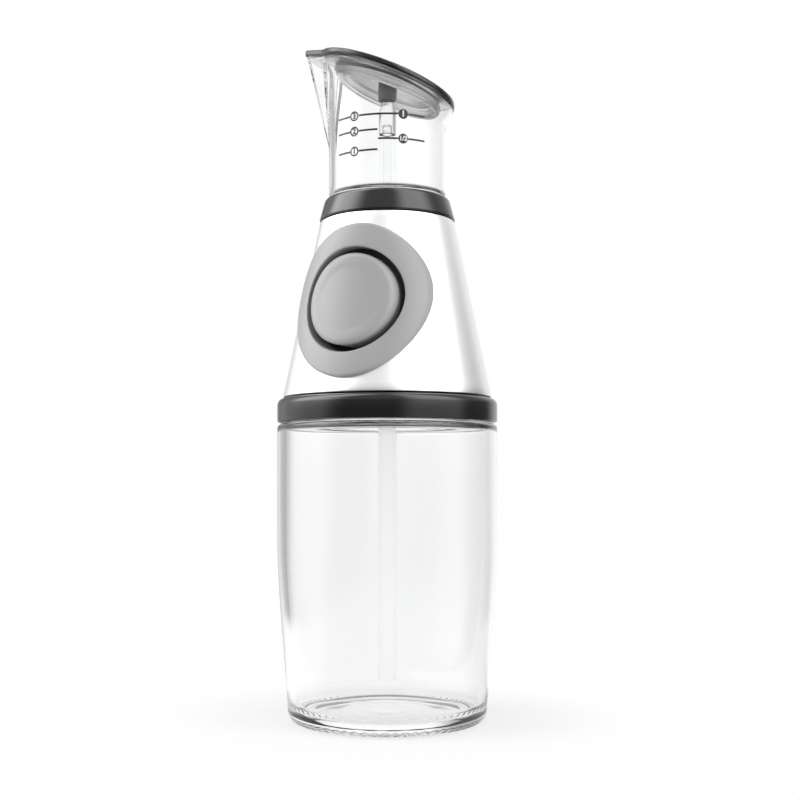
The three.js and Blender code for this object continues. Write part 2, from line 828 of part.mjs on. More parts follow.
function outletColumn() {
  const foot = outletFoot + restGap + valveHeight + restGap;
  const flangeTopHeight = cupFloorTop - cupFloor - restGap;
  const flangeFootHeight = flangeTopHeight - columnFlangeThickness;
  const top = stopperFoot() + stopperGrip - restGap;
  const grooveFloor = columnSpigot - cupRingDepth;
  const outline = [
    [0, foot],
    [columnSpigot, foot],
    [columnSpigot, columnRingMiddle() - stemRingWidth / 2 - slideGap / 2],
    [grooveFloor, columnRingMiddle() - stemRingWidth / 2 - slideGap / 2],
    [grooveFloor, columnRingMiddle() + stemRingWidth / 2 + slideGap / 2],
    [columnSpigot, columnRingMiddle() + stemRingWidth / 2 + slideGap / 2],
    [columnSpigot, flangeFootHeight],
    [columnFlange, flangeFootHeight],
    [columnFlange, flangeTopHeight],
    [columnRadius, flangeTopHeight],
    [columnRadius, top - columnTip],
    [columnTipRadius, top - columnTip + columnShoulder],
    [columnTipRadius, top],
    [0, top],
  ];
  const portHeight = cupFloorTop + columnPortHeight;
  const port = rod(columnPortRadius, 0, columnRadius + overcut, screwSides);
  port.rotateX(Math.PI / 2).translate(0, 0, portHeight);
  return cut(revolve(outline, smallSides), rod(columnBore, foot - overcut, portHeight + columnBore), port);
}

function lidBody() {
  const plate = new THREE.ExtrudeGeometry(lidOutline(), { depth: lidThickness, bevelEnabled: false });
  const plugRadius = cupBore - plugGap;
  const plugFoot = lidUnder - plugDepth;
  const grooveFloor = plugRadius - lidRingDepth;
  const grooveTop = lidUnder - plugDepth / 2 + lidRingWidth / 2 + slideGap / 2;
  const grooveFoot = lidUnder - plugDepth / 2 - lidRingWidth / 2 - slideGap / 2;
  const plug = revolve([
    [plugRadius - plugWall, plugFoot],
    [plugRadius, plugFoot],
    [plugRadius, grooveFoot],
    [grooveFloor, grooveFoot],
    [grooveFloor, grooveTop],
    [plugRadius, grooveTop],
    [plugRadius, lidUnder + lidThickness / 2],
    [plugRadius - plugWall, lidUnder + lidThickness / 2],
  ]);
  return slantAll(join(plate.translate(0, 0, lidUnder), plug));
}

function lidGasket() {
  const plugRadius = cupBore - plugGap;
  const middle = lidUnder - plugDepth / 2;
  const inner = plugRadius - lidRingDepth + restGap / 2;
  return slantAll(ringAround(inner, cupBore - slideGap, middle, lidRingWidth, wideSides));
}

function stopperFoot() {
  return lidUnder - stopperDepth;
}

function lidStopper() {
  const socket = columnTipRadius + slideGap;
  const top = lidUnder - restGap;
  return slant(revolve([
    [0, stopperFoot() + stopperGrip],
    [socket, stopperFoot() + stopperGrip],
    [socket, stopperFoot()],
    [stopperRadius, stopperFoot()],
    [stopperRadius, top],
    [0, top],
  ], smallSides), stopperFoot() + stopperGrip, top);
}

// Umbrella valve: cap below the flange, stem through it, barb above
function ventValve() {
  return onCircle(revolve([
    [0, flangeFoot - restGap - ventCapThickness],
    [ventCap, flangeFoot - restGap - ventCapThickness / 2],
    [ventCap, flangeFoot - restGap],
    [ventHole - slideGap, flangeFoot - restGap],
    [ventHole - slideGap, flangeTop + restGap],
    [ventBarb, flangeTop + restGap],
    [ventHole - slideGap, flangeTop + restGap + ventBarbThickness],
    [0, flangeTop + restGap + ventBarbThickness],
  ], smallSides), ventCircle, ventAngle);
}

place('glass_bottle', glassBottle(), clearGlass);
place('neck_gasket', revolve(tubeOutline(neckBore, neckRadius, gasketFoot, gasketFoot + gasketThickness)),
  clearSilicone);
place('collar_ring', collarRing(), blackPlastic);
place('housing_shell', housingShell(), satinMetal);
place('upper_ring', upperRing(), blackPlastic);
place('chassis', chassis(), innerPlastic);
baseScrewAngles.forEach((angle, i) => {
  place(`base_screw_${i + 1}`, onCircle(screw(plateTop), baseScrewCircle, angle), steel);
});
ringScrewAngles.forEach((angle, i) => {
  const upward = screw(0).rotateX(Math.PI).translate(0, 0, topPlateFoot);
  place(`ring_screw_${i + 1}`, onCircle(upward, ringScrewCircle, angle), steel);
});
place('vent_valve', ventValve(), clearSilicone);

place('pump_barrel', pumpBarrel(), innerPlastic);
place('barrel_cap', barrelCap(), innerPlastic);
place('plunger', plunger(), innerPlastic);
place('piston_seal', alongButton(ringAround(barrelBore - slideGap - sealDepth + slideGap / 2,
  barrelBore - slideGap / 2, pistonMiddle(), sealWidth, pumpSides)), darkSilicone);
place('return_spring', returnSpring(), steel);
place('button_cap', buttonCap(), greyPlastic);
place('bezel', bezel(), greyPlastic);
place('button_guide', buttonGuide(), blackPlastic);
place('button_boot', buttonBoot(), darkSilicone);

for (const [side, foot] of [['inlet', inletFoot], ['outlet', outletFoot + restGap]]) {
  place(`${side}_seat`, valveSeat(foot), innerPlastic);
  place(`${side}_ball`, valveBall(foot), steel);
  place(`${side}_cage`, valveCage(foot), innerPlastic);
}
place('inlet_oring', ringAround(stemRadius - stemRingDepth + slideGap / 2, stemRadius + slideGap / 2,
  (flangeFoot + flangeTop) / 2, stemRingWidth), darkSilicone);
place('tube_sleeve', revolve(tubeOutline(tubeRadius + slideGap, valveBore - slideGap, stemFoot, sleeveTop),
  smallSides), innerPlastic);
place('dip_tube', revolve(tubeOutline(tubeRadius - tubeWall, tubeRadius, tubeEnd, sleeveTop - restGap),
  smallSides), whiteTube);

place('measuring_cup', measuringCup(), clearPlastic, cupGroup);
place('cup_oring', ringAround(spigotRadius - cupRingDepth + slideGap / 2, bayonetBore - slideGap / 2,
  ringTop - ringLip / 2, cupRingWidth, wideSides), clearSilicone, cupGroup);
place('outlet_column', outletColumn(), clearPlastic, cupGroup);
place('outlet_oring', ringAround(columnSpigot - cupRingDepth + slideGap / 2, valveBore - slideGap / 2,
  columnRingMiddle(), stemRingWidth), clearSilicone, cupGroup);
place('lid', lidBody(), smokedPlastic, cupGroup);
place('lid_gasket', lidGasket(), clearSilicone, cupGroup);
place('lid_stopper', lidStopper(), darkSilicone, cupGroup);

export default dispenser;
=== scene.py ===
import json
import math

import bmesh
import bpy
import numpy as np
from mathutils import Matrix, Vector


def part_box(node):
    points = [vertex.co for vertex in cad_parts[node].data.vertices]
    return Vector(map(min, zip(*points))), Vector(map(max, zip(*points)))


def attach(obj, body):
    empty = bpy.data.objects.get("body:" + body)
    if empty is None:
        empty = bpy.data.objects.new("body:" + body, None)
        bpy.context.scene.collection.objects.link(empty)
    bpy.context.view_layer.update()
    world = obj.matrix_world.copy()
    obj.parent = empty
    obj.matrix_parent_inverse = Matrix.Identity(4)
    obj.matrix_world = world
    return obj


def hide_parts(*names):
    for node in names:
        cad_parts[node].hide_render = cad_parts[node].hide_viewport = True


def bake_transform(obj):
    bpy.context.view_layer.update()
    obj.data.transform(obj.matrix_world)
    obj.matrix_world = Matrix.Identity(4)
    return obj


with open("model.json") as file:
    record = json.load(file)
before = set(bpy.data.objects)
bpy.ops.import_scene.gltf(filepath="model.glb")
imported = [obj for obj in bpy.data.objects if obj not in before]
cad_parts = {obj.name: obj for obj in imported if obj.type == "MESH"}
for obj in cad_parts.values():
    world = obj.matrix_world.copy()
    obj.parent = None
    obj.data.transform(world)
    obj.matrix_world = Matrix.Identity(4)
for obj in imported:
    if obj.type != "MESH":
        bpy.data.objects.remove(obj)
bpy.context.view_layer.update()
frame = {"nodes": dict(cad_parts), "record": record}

scene = bpy.context.scene
scene.view_settings.view_transform = "Standard"
mm = 0.001  # shapes are worked out in millimetres
crispAngle = math.radians(38)  # faces that meet at more than this keep a crisp edge
print("frame loaded:", len(frame["nodes"]), "solids")


# a socket that takes part in sums and products, each of which adds a Math node
class Wire:
    def __init__(self, paint, socket):
        self.paint, self.socket = paint, socket

    def maths(self, operation, first, second):
        return self.paint.node("ShaderNodeMath", {"operation": operation}, {0: first, 1: second})

    def __add__(self, other): return self.maths("ADD", self, other)
    def __radd__(self, other): return self.maths("ADD", other, self)
    def __sub__(self, other): return self.maths("SUBTRACT", self, other)
    def __rsub__(self, other): return self.maths("SUBTRACT", other, self)
    def __mul__(self, other): return self.maths("MULTIPLY", self, other)
    def __rmul__(self, other): return self.maths("MULTIPLY", other, self)


# a node tree to draw in; node() sets the settings first and then the sockets
class Paint:
    def __init__(self, tree):
        tree.nodes.clear()
        self.tree = tree

    def node(self, kind, settings=None, sockets=None, out=0):
        made = self.tree.nodes.new(kind)
        for key, value in (settings or {}).items():
            setattr(made, key, value)
        for key, value in (sockets or {}).items():
            if isinstance(value, Wire):
                self.tree.links.new(value.socket, made.inputs[key])
            else:
                made.inputs[key].default_value = value
        return Wire(self, made.outputs[out]) if len(made.outputs) else made


# surface with a colour that drifts a little, on some pieces a painted light fade down their height, a roughness
# that varies and a fine grain
def surface(name, look):
    material = bpy.data.materials.new(name)
    material.use_nodes = True
    paint = Paint(material.node_tree)
    place = paint.node("ShaderNodeTexCoord", out="Object")
    stretched = paint.node("ShaderNodeMapping", {}, {"Vector": place, "Scale": look.get("stretch", (1, 1, 1))})
    cloudAndPaintedFade = paint.node("ShaderNodeTexNoise", {}, {
        "Vector": place, "Scale": look["cloudScale"], "Detail": 2.0, "Roughness": 0.5})
    grain = paint.node("ShaderNodeTexNoise", {}, {
        "Vector": stretched, "Scale": look["grainScale"], "Detail": 3.0, "Roughness": 0.6})
    if "paintedFade" in look:  # painted light: paler from one height down to another, standing in for how the light falls along the piece
        high, low = [level * mm for level in look["paintedFade"]]
        height = paint.node("ShaderNodeSeparateXYZ", {}, {0: place}, out="Z")
        cloudAndPaintedFade = cloudAndPaintedFade + ((high + low) / 2 - height) * (1 / (high - low))
    darker, paler = [(*np.clip(np.array(look["colour"]) * (1 + change), 0, 1), 1)
                     for change in (-look["drift"], look["drift"])]
    tint = paint.node("ShaderNodeMix", {"data_type": "RGBA"}, {0: cloudAndPaintedFade, 6: darker, 7: paler}, out=2)
    bump = paint.node("ShaderNodeBump", {}, {
        "Height": grain, "Strength": look["grain"], "Distance": look["grainDepth"] * mm})
    shader = paint.node("ShaderNodeBsdfPrincipled", {}, {
        "Base Color": tint,
        "Roughness": look["roughness"] + (grain - 0.5) * look["polish"],
        "Normal": bump,
        "Metallic": look.get("metal", 0.0),
        "IOR": look.get("ior", 1.5),
        "Transmission Weight": look.get("clear", 0.0),
    })
    sockets = {"Surface": shader}
    if "passes" in look:  # lamps shine through clear pieces, so that they cast only a faint shadow
        ray = paint.node("ShaderNodeLightPath", out="Is Shadow Ray")
        letThrough = paint.node("ShaderNodeBsdfTransparent", {}, {"Color": (*look["passes"], 1)})
        sockets["Surface"] = paint.node("ShaderNodeMixShader", {}, {0: ray, 1: shader, 2: letThrough})
    if "smoke" in look:  # grey that deepens with the thickness of the plastic
        sockets["Volume"] = paint.node("ShaderNodeVolumeAbsorption", {}, {
            "Color": (*look["smokeColour"], 1), "Density": look["smoke"]})
    paint.node("ShaderNodeOutputMaterial", {}, sockets)
    return material


looks = {
    "clear_glass": dict(colour=(0.98, 0.984, 0.983), drift=0.004, cloudScale=25, grainScale=60, grain=0.05,
                        grainDepth=0.2, roughness=0.012, polish=0.01, clear=1.0, ior=1.5,
                        passes=(0.84, 0.842, 0.842)),
    "clear_plastic": dict(colour=(0.975, 0.98, 0.98), drift=0.004, cloudScale=40, grainScale=90, grain=0.04,
                          grainDepth=0.1, roughness=0.02, polish=0.015, clear=1.0, ior=1.46,
                          passes=(0.92, 0.92, 0.92)),
    "smoked_plastic": dict(colour=(0.9, 0.905, 0.91), drift=0.01, cloudScale=40, grainScale=120, grain=0.04,
                           grainDepth=0.1, roughness=0.13, polish=0.02, clear=1.0, ior=1.46,
                           smoke=110.0, smokeColour=(0.06, 0.05, 0.04), passes=(0.45, 0.45, 0.46)),
    "black_gloss": dict(colour=(0.009, 0.009, 0.0095), drift=0.12, cloudScale=60, grainScale=2500, grain=0.05,
                        grainDepth=0.02, roughness=0.16, polish=0.05),
    "satin_steel": dict(colour=(0.92, 0.92, 0.925), drift=0.012, cloudScale=30, grainScale=900, grain=0.035,
                        grainDepth=0.03, roughness=0.34, polish=0.05, metal=1.0, stretch=(0.08, 0.08, 1)),
    "grey_plastic": dict(colour=(0.385, 0.385, 0.39), drift=0.03, cloudScale=50, grainScale=3200, grain=0.1,
                         grainDepth=0.03, roughness=0.42, polish=0.08),
    "inner_plastic": dict(colour=(0.72, 0.72, 0.71), drift=0.03, cloudScale=60, grainScale=1500, grain=0.06,
                          grainDepth=0.03, roughness=0.5, polish=0.06),
    # the dip tube carries a painted light fade: its colour turns paler towards its foot
    "white_tube": dict(colour=(0.988, 0.988, 0.986), drift=0.012, cloudScale=60, grainScale=400, grain=0.05,
                       grainDepth=0.05, roughness=0.45, polish=0.05, clear=0.96, ior=1.06, paintedFade=(75.0, 35.0),
                       passes=(0.8, 0.8, 0.8)),
    "dark_silicone": dict(colour=(0.018, 0.018, 0.019), drift=0.1, cloudScale=80, grainScale=1800, grain=0.1,
                          grainDepth=0.03, roughness=0.5, polish=0.08),
    "pale_silicone": dict(colour=(0.9, 0.9, 0.89), drift=0.02, cloudScale=80, grainScale=900, grain=0.05,
                          grainDepth=0.03, roughness=0.3, polish=0.05, clear=0.9, ior=1.4,
                          passes=(0.8, 0.8, 0.8)),
    "screw_steel": dict(colour=(0.56, 0.57, 0.58), drift=0.04, cloudScale=200, grainScale=2500, grain=0.04,
                        grainDepth=0.02, roughness=0.25, polish=0.08, metal=1.0),
    "scale_print_black": dict(colour=(0.008, 0.008, 0.008), drift=0.15, cloudScale=300, grainScale=3000, grain=0.05,
                              grainDepth=0.01, roughness=0.45, polish=0.1),
}
# pieces that look a little unlike the rest of their slot
looks |= {
    "scale_print_pale": dict(looks["scale_print_black"], colour=(0.85, 0.85, 0.85), drift=0.02),
    "smoked_stub": dict(looks["dark_silicone"], colour=(0.07, 0.07, 0.072), roughness=0.3),
    "clear_column": dict(looks["clear_plastic"], ior=1.05),
    "clear_column_head": dict(looks["clear_plastic"], ior=1.32),
}
finishes = {name: surface(name, look) for name, look in looks.items()}
print("finishes made:", len(finishes))


# outline with rounded corners: tangent points lie radius / tan(half the corner) along both edges, the centre
# radius / sin(half the corner) along the bisector, and each arc runs from one tangent point to the other
def rounded(corners, radii, steps=4):
    p = np.asarray(corners, float)
    back, ahead = np.roll(p, 1, 0) - p, np.roll(p, -1, 0) - p
    backLength, aheadLength = np.linalg.norm(back, axis=1), np.linalg.norm(ahead, axis=1)
    back, ahead = back / backLength[:, None], ahead / aheadLength[:, None]
    half = np.clip(np.arccos(np.clip((back * ahead).sum(1), -1, 1)) / 2, 0.02, 1.55)
    reach = np.minimum(np.asarray(radii, float) / np.tan(half), 0.49 * np.minimum(backLength, aheadLength))
    radius = reach * np.tan(half)
    bisector = back + ahead
    bisector /= np.maximum(np.linalg.norm(bisector, axis=1), 1e-9)[:, None]
    centre = p + bisector * (radius / np.sin(half))[:, None]
    start, end = p + back * reach[:, None] - centre, p + ahead * reach[:, None] - centre
    first = np.arctan2(start[:, 1], start[:, 0])
    sweep = (np.arctan2(end[:, 1], end[:, 0]) - first + np.pi) % (2 * np.pi) - np.pi
    angle = first[:, None] + sweep[:, None] * np.linspace(0, 1, steps + 1)
    arcs = centre[:, None] + radius[:, None, None] * np.stack([np.cos(angle), np.sin(angle)], -1)
    return arcs.reshape(-1, 2)


# cubic curve: (1-t)^3 a + 3 (1-t)^2 t b + 3 (1-t) t^2 c + t^3 d
def bezier(a, b, c, d, steps):
    t = np.linspace(0, 1, steps + 1)[:, None]
    a, b, c, d = map(np.asarray, (a, b, c, d))
    return (1 - t) ** 3 * a + 3 * (1 - t) ** 2 * t * b + 3 * (1 - t) * t ** 2 * c + t ** 3 * d


# smooth step: 3 t^2 - 2 t^3, where t is the share of the way from low to high
def smooth(low, high, value):
    t = np.clip((value - low) / (high - low), 0, 1)
    return t * t * (3 - 2 * t)


# straight run from a to b in even steps, without its last point
def run(a, b, steps):
    t = np.linspace(0, 1, steps, endpoint=False)[:, None]
    return np.asarray(a) * (1 - t) + np.asarray(b) * t


# even angles round a full turn: 2 pi times 0, 1, 2 and so on over the number of sides
def fullTurn(sides):
    return np.linspace(0, 2 * np.pi, sides, endpoint=False)


# solid of revolution: point = (r cos a, r sin a, z) for every profile point (r, z) and every angle a
def spun(profile, sides):
    angle = fullTurn(sides)
    r, z = np.asarray(profile)[:, :1], np.asarray(profile)[:, 1:]
    return np.stack([r * np.cos(angle), r * np.sin(angle), z + 0 * angle], -1)


# the same about the button's axis: the profile is (radius, depth along y)
def spunAlongButton(profile, sides):
    across = spun(profile, sides)
    return np.stack([across[..., 0], across[..., 2], button["height"] + across[..., 1]], -1)


# closed skin over a grid of points: neighbours make quads, columns wrap, rows wrap when loop is set,
# and a row that shrinks to one point closes as a pole
def skin(name, grid, loop=True):
    rows, columns = grid.shape[:2]
    index = np.arange(rows * columns).reshape(rows, columns)
    above = np.roll(index, -1, 0)
    quads = np.stack([index, np.roll(index, -1, 1), np.roll(above, -1, 1), above], -1)
    quads = (quads if loop else quads[:-1]).reshape(-1, 4)
    mesh = bpy.data.meshes.new(name)
    mesh.vertices.add(rows * columns)
    mesh.vertices.foreach_set("co", (grid.reshape(-1, 3) * mm).astype(np.float32).ravel())
    mesh.loops.add(quads.size)
    mesh.loops.foreach_set("vertex_index", quads.astype(np.int32).ravel())
    mesh.polygons.add(len(quads))
    mesh.polygons.foreach_set("loop_start", np.arange(0, quads.size, 4, dtype=np.int32))
    mesh.update(calc_edges=True)
    return tidied(mesh)


# merges doubles, drops slivers, turns faces outwards, shades smooth with crisp edges
def tidied(mesh):
    work = bmesh.new()
    work.from_mesh(mesh)
    bmesh.ops.remove_doubles(work, verts=work.verts, dist=2e-6)
    bmesh.ops.dissolve_degenerate(work, edges=work.edges, dist=1e-7)
    bmesh.ops.recalc_face_normals(work, faces=work.faces)
    work.to_mesh(mesh)
    work.free()
    mesh.polygons.foreach_set("use_smooth", np.ones(len(mesh.polygons), bool))
    mesh.set_sharp_from_angle(angle=crispAngle)
    return mesh


# several meshes as one
def joined(name, meshes):
    work = bmesh.new()
    for mesh in meshes:
        work.from_mesh(mesh)
    whole = bpy.data.meshes.new(name)
    work.to_mesh(whole)
    work.free()
    whole.set_sharp_from_angle(angle=crispAngle)
    return whole


# an object in the scene that holds a mesh, curve, lamp or camera
def inScene(name, data):
    made = bpy.data.objects.new(name, data)
    scene.collection.objects.link(made)
    return made


# mesh of an object as its modifiers leave it; the object itself goes
def asMesh(made):
    mesh = bpy.data.meshes.new_from_object(made.evaluated_get(bpy.context.evaluated_depsgraph_get()))
    bpy.data.objects.remove(made)
    return mesh


# puts a mesh on its body, in place of the solids that it stands for, with its own look or its slot's
def piece(name, mesh, body, slot, nodes=(), look=None):
    made = inScene(name, mesh)
    mesh.materials.append(finishes[look or slot])
    if body:
        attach(made, body)
    if nodes:
        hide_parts(*nodes)
    return made


# camera where the photograph was taken from, level, a little below the middle of the bottle
cameraView = dict(distance=395.0, height=76.5, azimuth=24.0, lens=55.65, sensor=36.0, shiftX=0.0158, shiftY=0.0993)
turn = math.radians(cameraView["azimuth"])
camera = inScene("camera", bpy.data.cameras.new("camera"))
cameraAway = cameraView["distance"] * mm
camera.location = (cameraAway * math.sin(turn), -cameraAway * math.cos(turn), cameraView["height"] * mm)
camera.rotation_euler = (math.pi / 2, 0, turn)
camera.data.lens, camera.data.sensor_width = cameraView["lens"], cameraView["sensor"]
camera.data.shift_x, camera.data.shift_y = cameraView["shiftX"], cameraView["shiftY"]
scene.camera = camera

glass = dict(radius=35.0, footRadius=28.5, footInner=23.5, footRound=1.0, footGap=0.6, pushUp=1.0,
             pushUpRadius=14.0, pushUpRound=12.0, heelRadius=31.8, heelHeight=4.0, heelLean=0.6,
             wallBend=(20.0, 40.0), fullHeight=58.0, shoulder=94.0, shoulderRound=1.4, innerRound=1.0, wall=2.8,
             floor=3.6, floorRise=0.6, bedRadius=6.0, bedRise=0.5, innerHeel=6.5, innerLean=0.3, shoulderWall=1.5,
             neckRadius=25.4, neckFootRound=0.8, neckGaps=(0.9, 1.0), neckBore=22.2, boreRound=1.2, neckTop=106.0,
             lip=0.9, ribs=64, ribDepth=0.75, ribRadius=30.0, ribReach=1.3, sides=480)
thread = dict(pitch=4.5, turns=1.2, runOut=0.06, depth=1.4, width=1.9, crest=0.25, root=0.62, foot=97.95)


# height of a screw ridge at each angle and height: full where the height is close to foot + pitch * turns so far
def ridge(angle, z, foot):
    t = thread
    bump = 0
    for wrap in (0, 1):
        gone = angle[None] / (2 * np.pi) + wrap
        ends = smooth(0, t["runOut"], gone) * (1 - smooth(t["turns"] - t["runOut"], t["turns"], gone))
        away = np.abs(z[:, None] - foot - t["pitch"] * gone)
        bump = np.maximum(bump, ends * (1 - smooth(t["width"] * t["crest"], t["width"] * t["root"], away)))
    return bump * t["depth"]


# bottle: one closed profile out over the foot, up the tapered wall to the neck, and back down inside,
# with a ridge that climbs the neck and fine ribs pressed into the ring that it stands on
def bottleMesh():
    g = glass
    foot = np.array([[0, g["pushUp"]], [g["pushUpRadius"] / 2, g["pushUp"]]])
    under = rounded([[0, g["pushUp"]], [g["pushUpRadius"], g["pushUp"]], [g["footInner"], 0], [g["footRadius"], 0]],
                    [0, g["pushUpRound"], g["footRound"], 0])[5:-5]
    ring = run((g["footInner"] + g["footGap"], 0), (g["footRadius"], 0), 6)
    quarter = np.linspace(-np.pi / 2, 0, 9)[:-1]
    heel = np.stack([g["footRadius"] + (g["heelRadius"] - g["footRadius"]) * np.cos(quarter),
                     g["heelHeight"] * (1 + np.sin(quarter))], 1)
    wall = bezier((g["heelRadius"], g["heelHeight"]), (g["heelRadius"] + g["heelLean"], g["wallBend"][0]),
                  (g["radius"], g["wallBend"][1]), (g["radius"], g["fullHeight"]), 22)
    shoulder = rounded([[g["radius"], g["fullHeight"]], [g["radius"], g["shoulder"]],
                        [g["neckRadius"], g["shoulder"]], [g["neckRadius"], g["neckTop"]]],
                       [0, g["shoulderRound"], g["neckFootRound"], 0], 7)[8:-8]
    low, high = g["shoulder"] + g["neckGaps"][0], g["neckTop"] - g["neckGaps"][1]
    neck = run((g["neckRadius"], low), (g["neckRadius"], high), 46)
    mouth = rounded([[g["neckRadius"], g["shoulder"]], [g["neckRadius"], g["neckTop"]],
                     [g["neckBore"], g["neckTop"]], [g["neckBore"], g["shoulder"]]],
                    [0, g["lip"], g["lip"], 0], 4)[5:-5]
    inShoulder = g["shoulder"] - g["shoulderWall"]
    inside = rounded([[g["neckBore"], high], [g["neckBore"], inShoulder],
                      [g["radius"] - g["wall"], inShoulder], [g["radius"] - g["wall"], g["fullHeight"]]],
                     [0, g["boreRound"], g["innerRound"], 0], 7)[8:-8]
    down = wall[::-1] - [g["wall"], 0]
    down = down[down[:, 1] > g["floor"] + g["innerHeel"]]
    middle = [0, g["floor"] + g["floorRise"]]
    bed = rounded([down[-1], [down[-1][0] - g["innerLean"], g["floor"]],
                   [g["bedRadius"], g["floor"] + g["bedRise"]], middle],
                  [0, g["innerHeel"], g["bedRadius"], 0], 8)[9:-9]
    parts = [foot, under, ring, heel, wall, shoulder, neck, mouth, inside, down, bed, np.array([middle])]
    profile = np.concatenate(parts)
    start = np.cumsum([0] + [len(part) for part in parts])
    grid = spun(profile, g["sides"])
    angle = fullTurn(g["sides"])
    rows = slice(start[6], start[7])
    grown = 1 + ridge(angle, profile[rows, 1], thread["foot"]) / g["neckRadius"]
    grid[rows, :, :2] *= grown[..., None]
    rows = slice(start[2], start[4])
    share = np.clip(1 - np.abs(profile[rows, 0] - g["ribRadius"]) / g["ribReach"], 0, 1)[:, None]
    grid[rows, :, 2] += g["ribDepth"] * share * (0.5 + 0.5 * np.cos(g["ribs"] * angle))
    return skin("glassBottle", grid, loop=False)


piece("glassBottle", bottleMesh(), "bottle", "clear_glass", ["glass_bottle"])
print("bottle made")

collar = dict(bore=27.3, radius=35.0, foot=94.5, top=102.1, hub=29.2, hubTop=111.2, flangeFoot=108.2, stem=6.3,
              topRound=2.2, footRound=0.7, threadFoot=95.7, sides=192)


# collar: closed profile with a rounded outer band and a ridge that winds inwards along its bore
def collarMesh():
    c = collar
    outer = rounded([[c["bore"], c["foot"]], [c["radius"], c["foot"]], [c["radius"], c["top"]],
                     [c["hub"], c["top"]], [c["hub"], c["hubTop"]], [c["stem"], c["hubTop"]],
                     [c["stem"], c["flangeFoot"]], [c["bore"], c["flangeFoot"]]],
                    [0.3, c["footRound"], c["topRound"], 0.4, 0.5, 0.2, 0.2, 0.5], 6)
    bore = run((c["bore"], c["flangeFoot"] - 0.8), (c["bore"], c["foot"] + 0.5), 44)
    grid = spun(np.concatenate([outer, bore]), c["sides"])
    angle = fullTurn(c["sides"])
    shrunk = 1 - ridge(angle, bore[:, 1], c["threadFoot"]) / c["bore"]
    grid[len(outer):, :, :2] *= shrunk[..., None]
    return skin("collarRing", grid)


piece("collarRing", collarMesh(), "head", "black_gloss", ["collar_ring"])

shell = dict(foot=102.4, top=158.0, footRadius=33.2, topRadius=21.4, wall=0.8, edge=0.3, hole=17.5,
             holeReach=(-45.0, -8.0), steps=24, sides=256)
buttonLow, buttonHigh = [np.array(corner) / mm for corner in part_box("button_cap")]
button = dict(height=(buttonLow[2] + buttonHigh[2]) / 2, flange=buttonHigh[0], flangeBack=buttonHigh[1],
              radius=14.1, flangeThick=1.5, proud=2.8, dish=0.24, dishRadius=10.6, dishEase=(-1.4, 1.0), edge=1.6,
              cavityDepth=6.9, skirt=12.4, rodHole=3.5, rodDepth=8.9, sides=160)


# outer radius of the metal cone at a height: straight from the foot radius to the top radius
def coneRadius(z):
    share = (z - shell["foot"]) / (shell["top"] - shell["foot"])
    return shell["footRadius"] + (shell["topRadius"] - shell["footRadius"]) * share


# depth y of a skin that stands a lift outside the cone, in front: -sqrt((cone radius + lift)^2 - x^2)
def coneFront(x, z, lift):
    return -np.sqrt(np.maximum((coneRadius(z) + lift) ** 2 - x ** 2, 0))


# shell: thin closed cone of rolled edges, with a round hole where the button goes in
def shellMesh():
    s = shell
    wall = [[s["footRadius"] - s["wall"], s["foot"]], [s["footRadius"], s["foot"]], [s["topRadius"], s["top"]],
            [s["topRadius"] - s["wall"], s["top"]]]
    soft = rounded(wall, s["edge"], 3)
    up = run(soft[7], soft[8], s["steps"])[1:]
    down = run(soft[15], soft[0], s["steps"])[1:]
    mesh = skin("housingShell", spun(np.concatenate([soft[:8], up, soft[8:], down]), s["sides"]))
    front, back = s["holeReach"]
    drill = spunAlongButton([[0, front], [s["hole"], front], [s["hole"], back], [0, back]], 96)
    return bored(mesh, skin("holeTool", drill, loop=False))


# takes one mesh out of another
def bored(mesh, tool):
    body, cutter = inScene("body", mesh), inScene("cutter", tool)
    cut = body.modifiers.new("cut", "BOOLEAN")
    cut.operation, cut.solver, cut.object = "DIFFERENCE", "EXACT", cutter
    result = asMesh(body)
    result.name = mesh.name
    bpy.data.objects.remove(cutter)
    return tidied(result)


piece("housingShell", shellMesh(), "head", "satin_steel", ["housing_shell"])

bezel = dict(halfWidth=22.2, halfHeight=23.7, lift=1.6, edge=0.9, edgeLift=0.4, seat=0.06, lip=0.6, crown=0.12,
             bore=16.1, boreSink=0.6, sleeve=17.2, sleeveBack=-20.2, sides=192)


# bezel: polar grid about the button's axis; reach is how far a row lies from that axis, from the round bore to
# the oval rim, and lift how far it stands above the cone; the sleeve rows run back to a flat end
def bezelGrid():
    b = bezel
    angle = fullTurn(b["sides"])[None]
    rimReach = 1 / np.sqrt((np.cos(angle) / b["halfWidth"]) ** 2 + (np.sin(angle) / b["halfHeight"]) ** 2)
    bend = np.linspace(0, np.pi / 2, 7)[:, None]
    full = np.ones_like(angle)
    out = np.linspace(0, 1, 13)[1:, None]
    reach = [b["bore"] * full, (b["bore"] + b["lip"] * (1 - np.cos(bend))) * full,
             (b["bore"] + b["lip"]) * (1 - out) + (rimReach - b["edge"]) * out,
             rimReach - b["edge"] * (1 - np.sin(bend[1:])), rimReach, b["sleeve"] * full]
    lift = [-b["boreSink"] * full, (b["lift"] - b["lip"] * (1 - np.sin(bend))) * full,
            (b["lift"] + b["crown"] * np.sin(np.pi * out)) * full,
            (b["edgeLift"] + (b["lift"] - b["edgeLift"]) * np.cos(bend[1:])) * full, b["seat"] * full,
            b["seat"] * full]
    reach, lift = np.concatenate(reach), np.concatenate(lift)
    x, z = reach * np.cos(angle), button["height"] + reach * np.sin(angle)
    front = np.stack([x, coneFront(x, z, lift), z], -1)
    back = spunAlongButton([[b["sleeve"], b["sleeveBack"]], [b["bore"], b["sleeveBack"]]], b["sides"])
    return np.concatenate([front, back])


piece("bezel", skin("bezel", bezelGrid()), "head", "grey_plastic", ["bezel"])


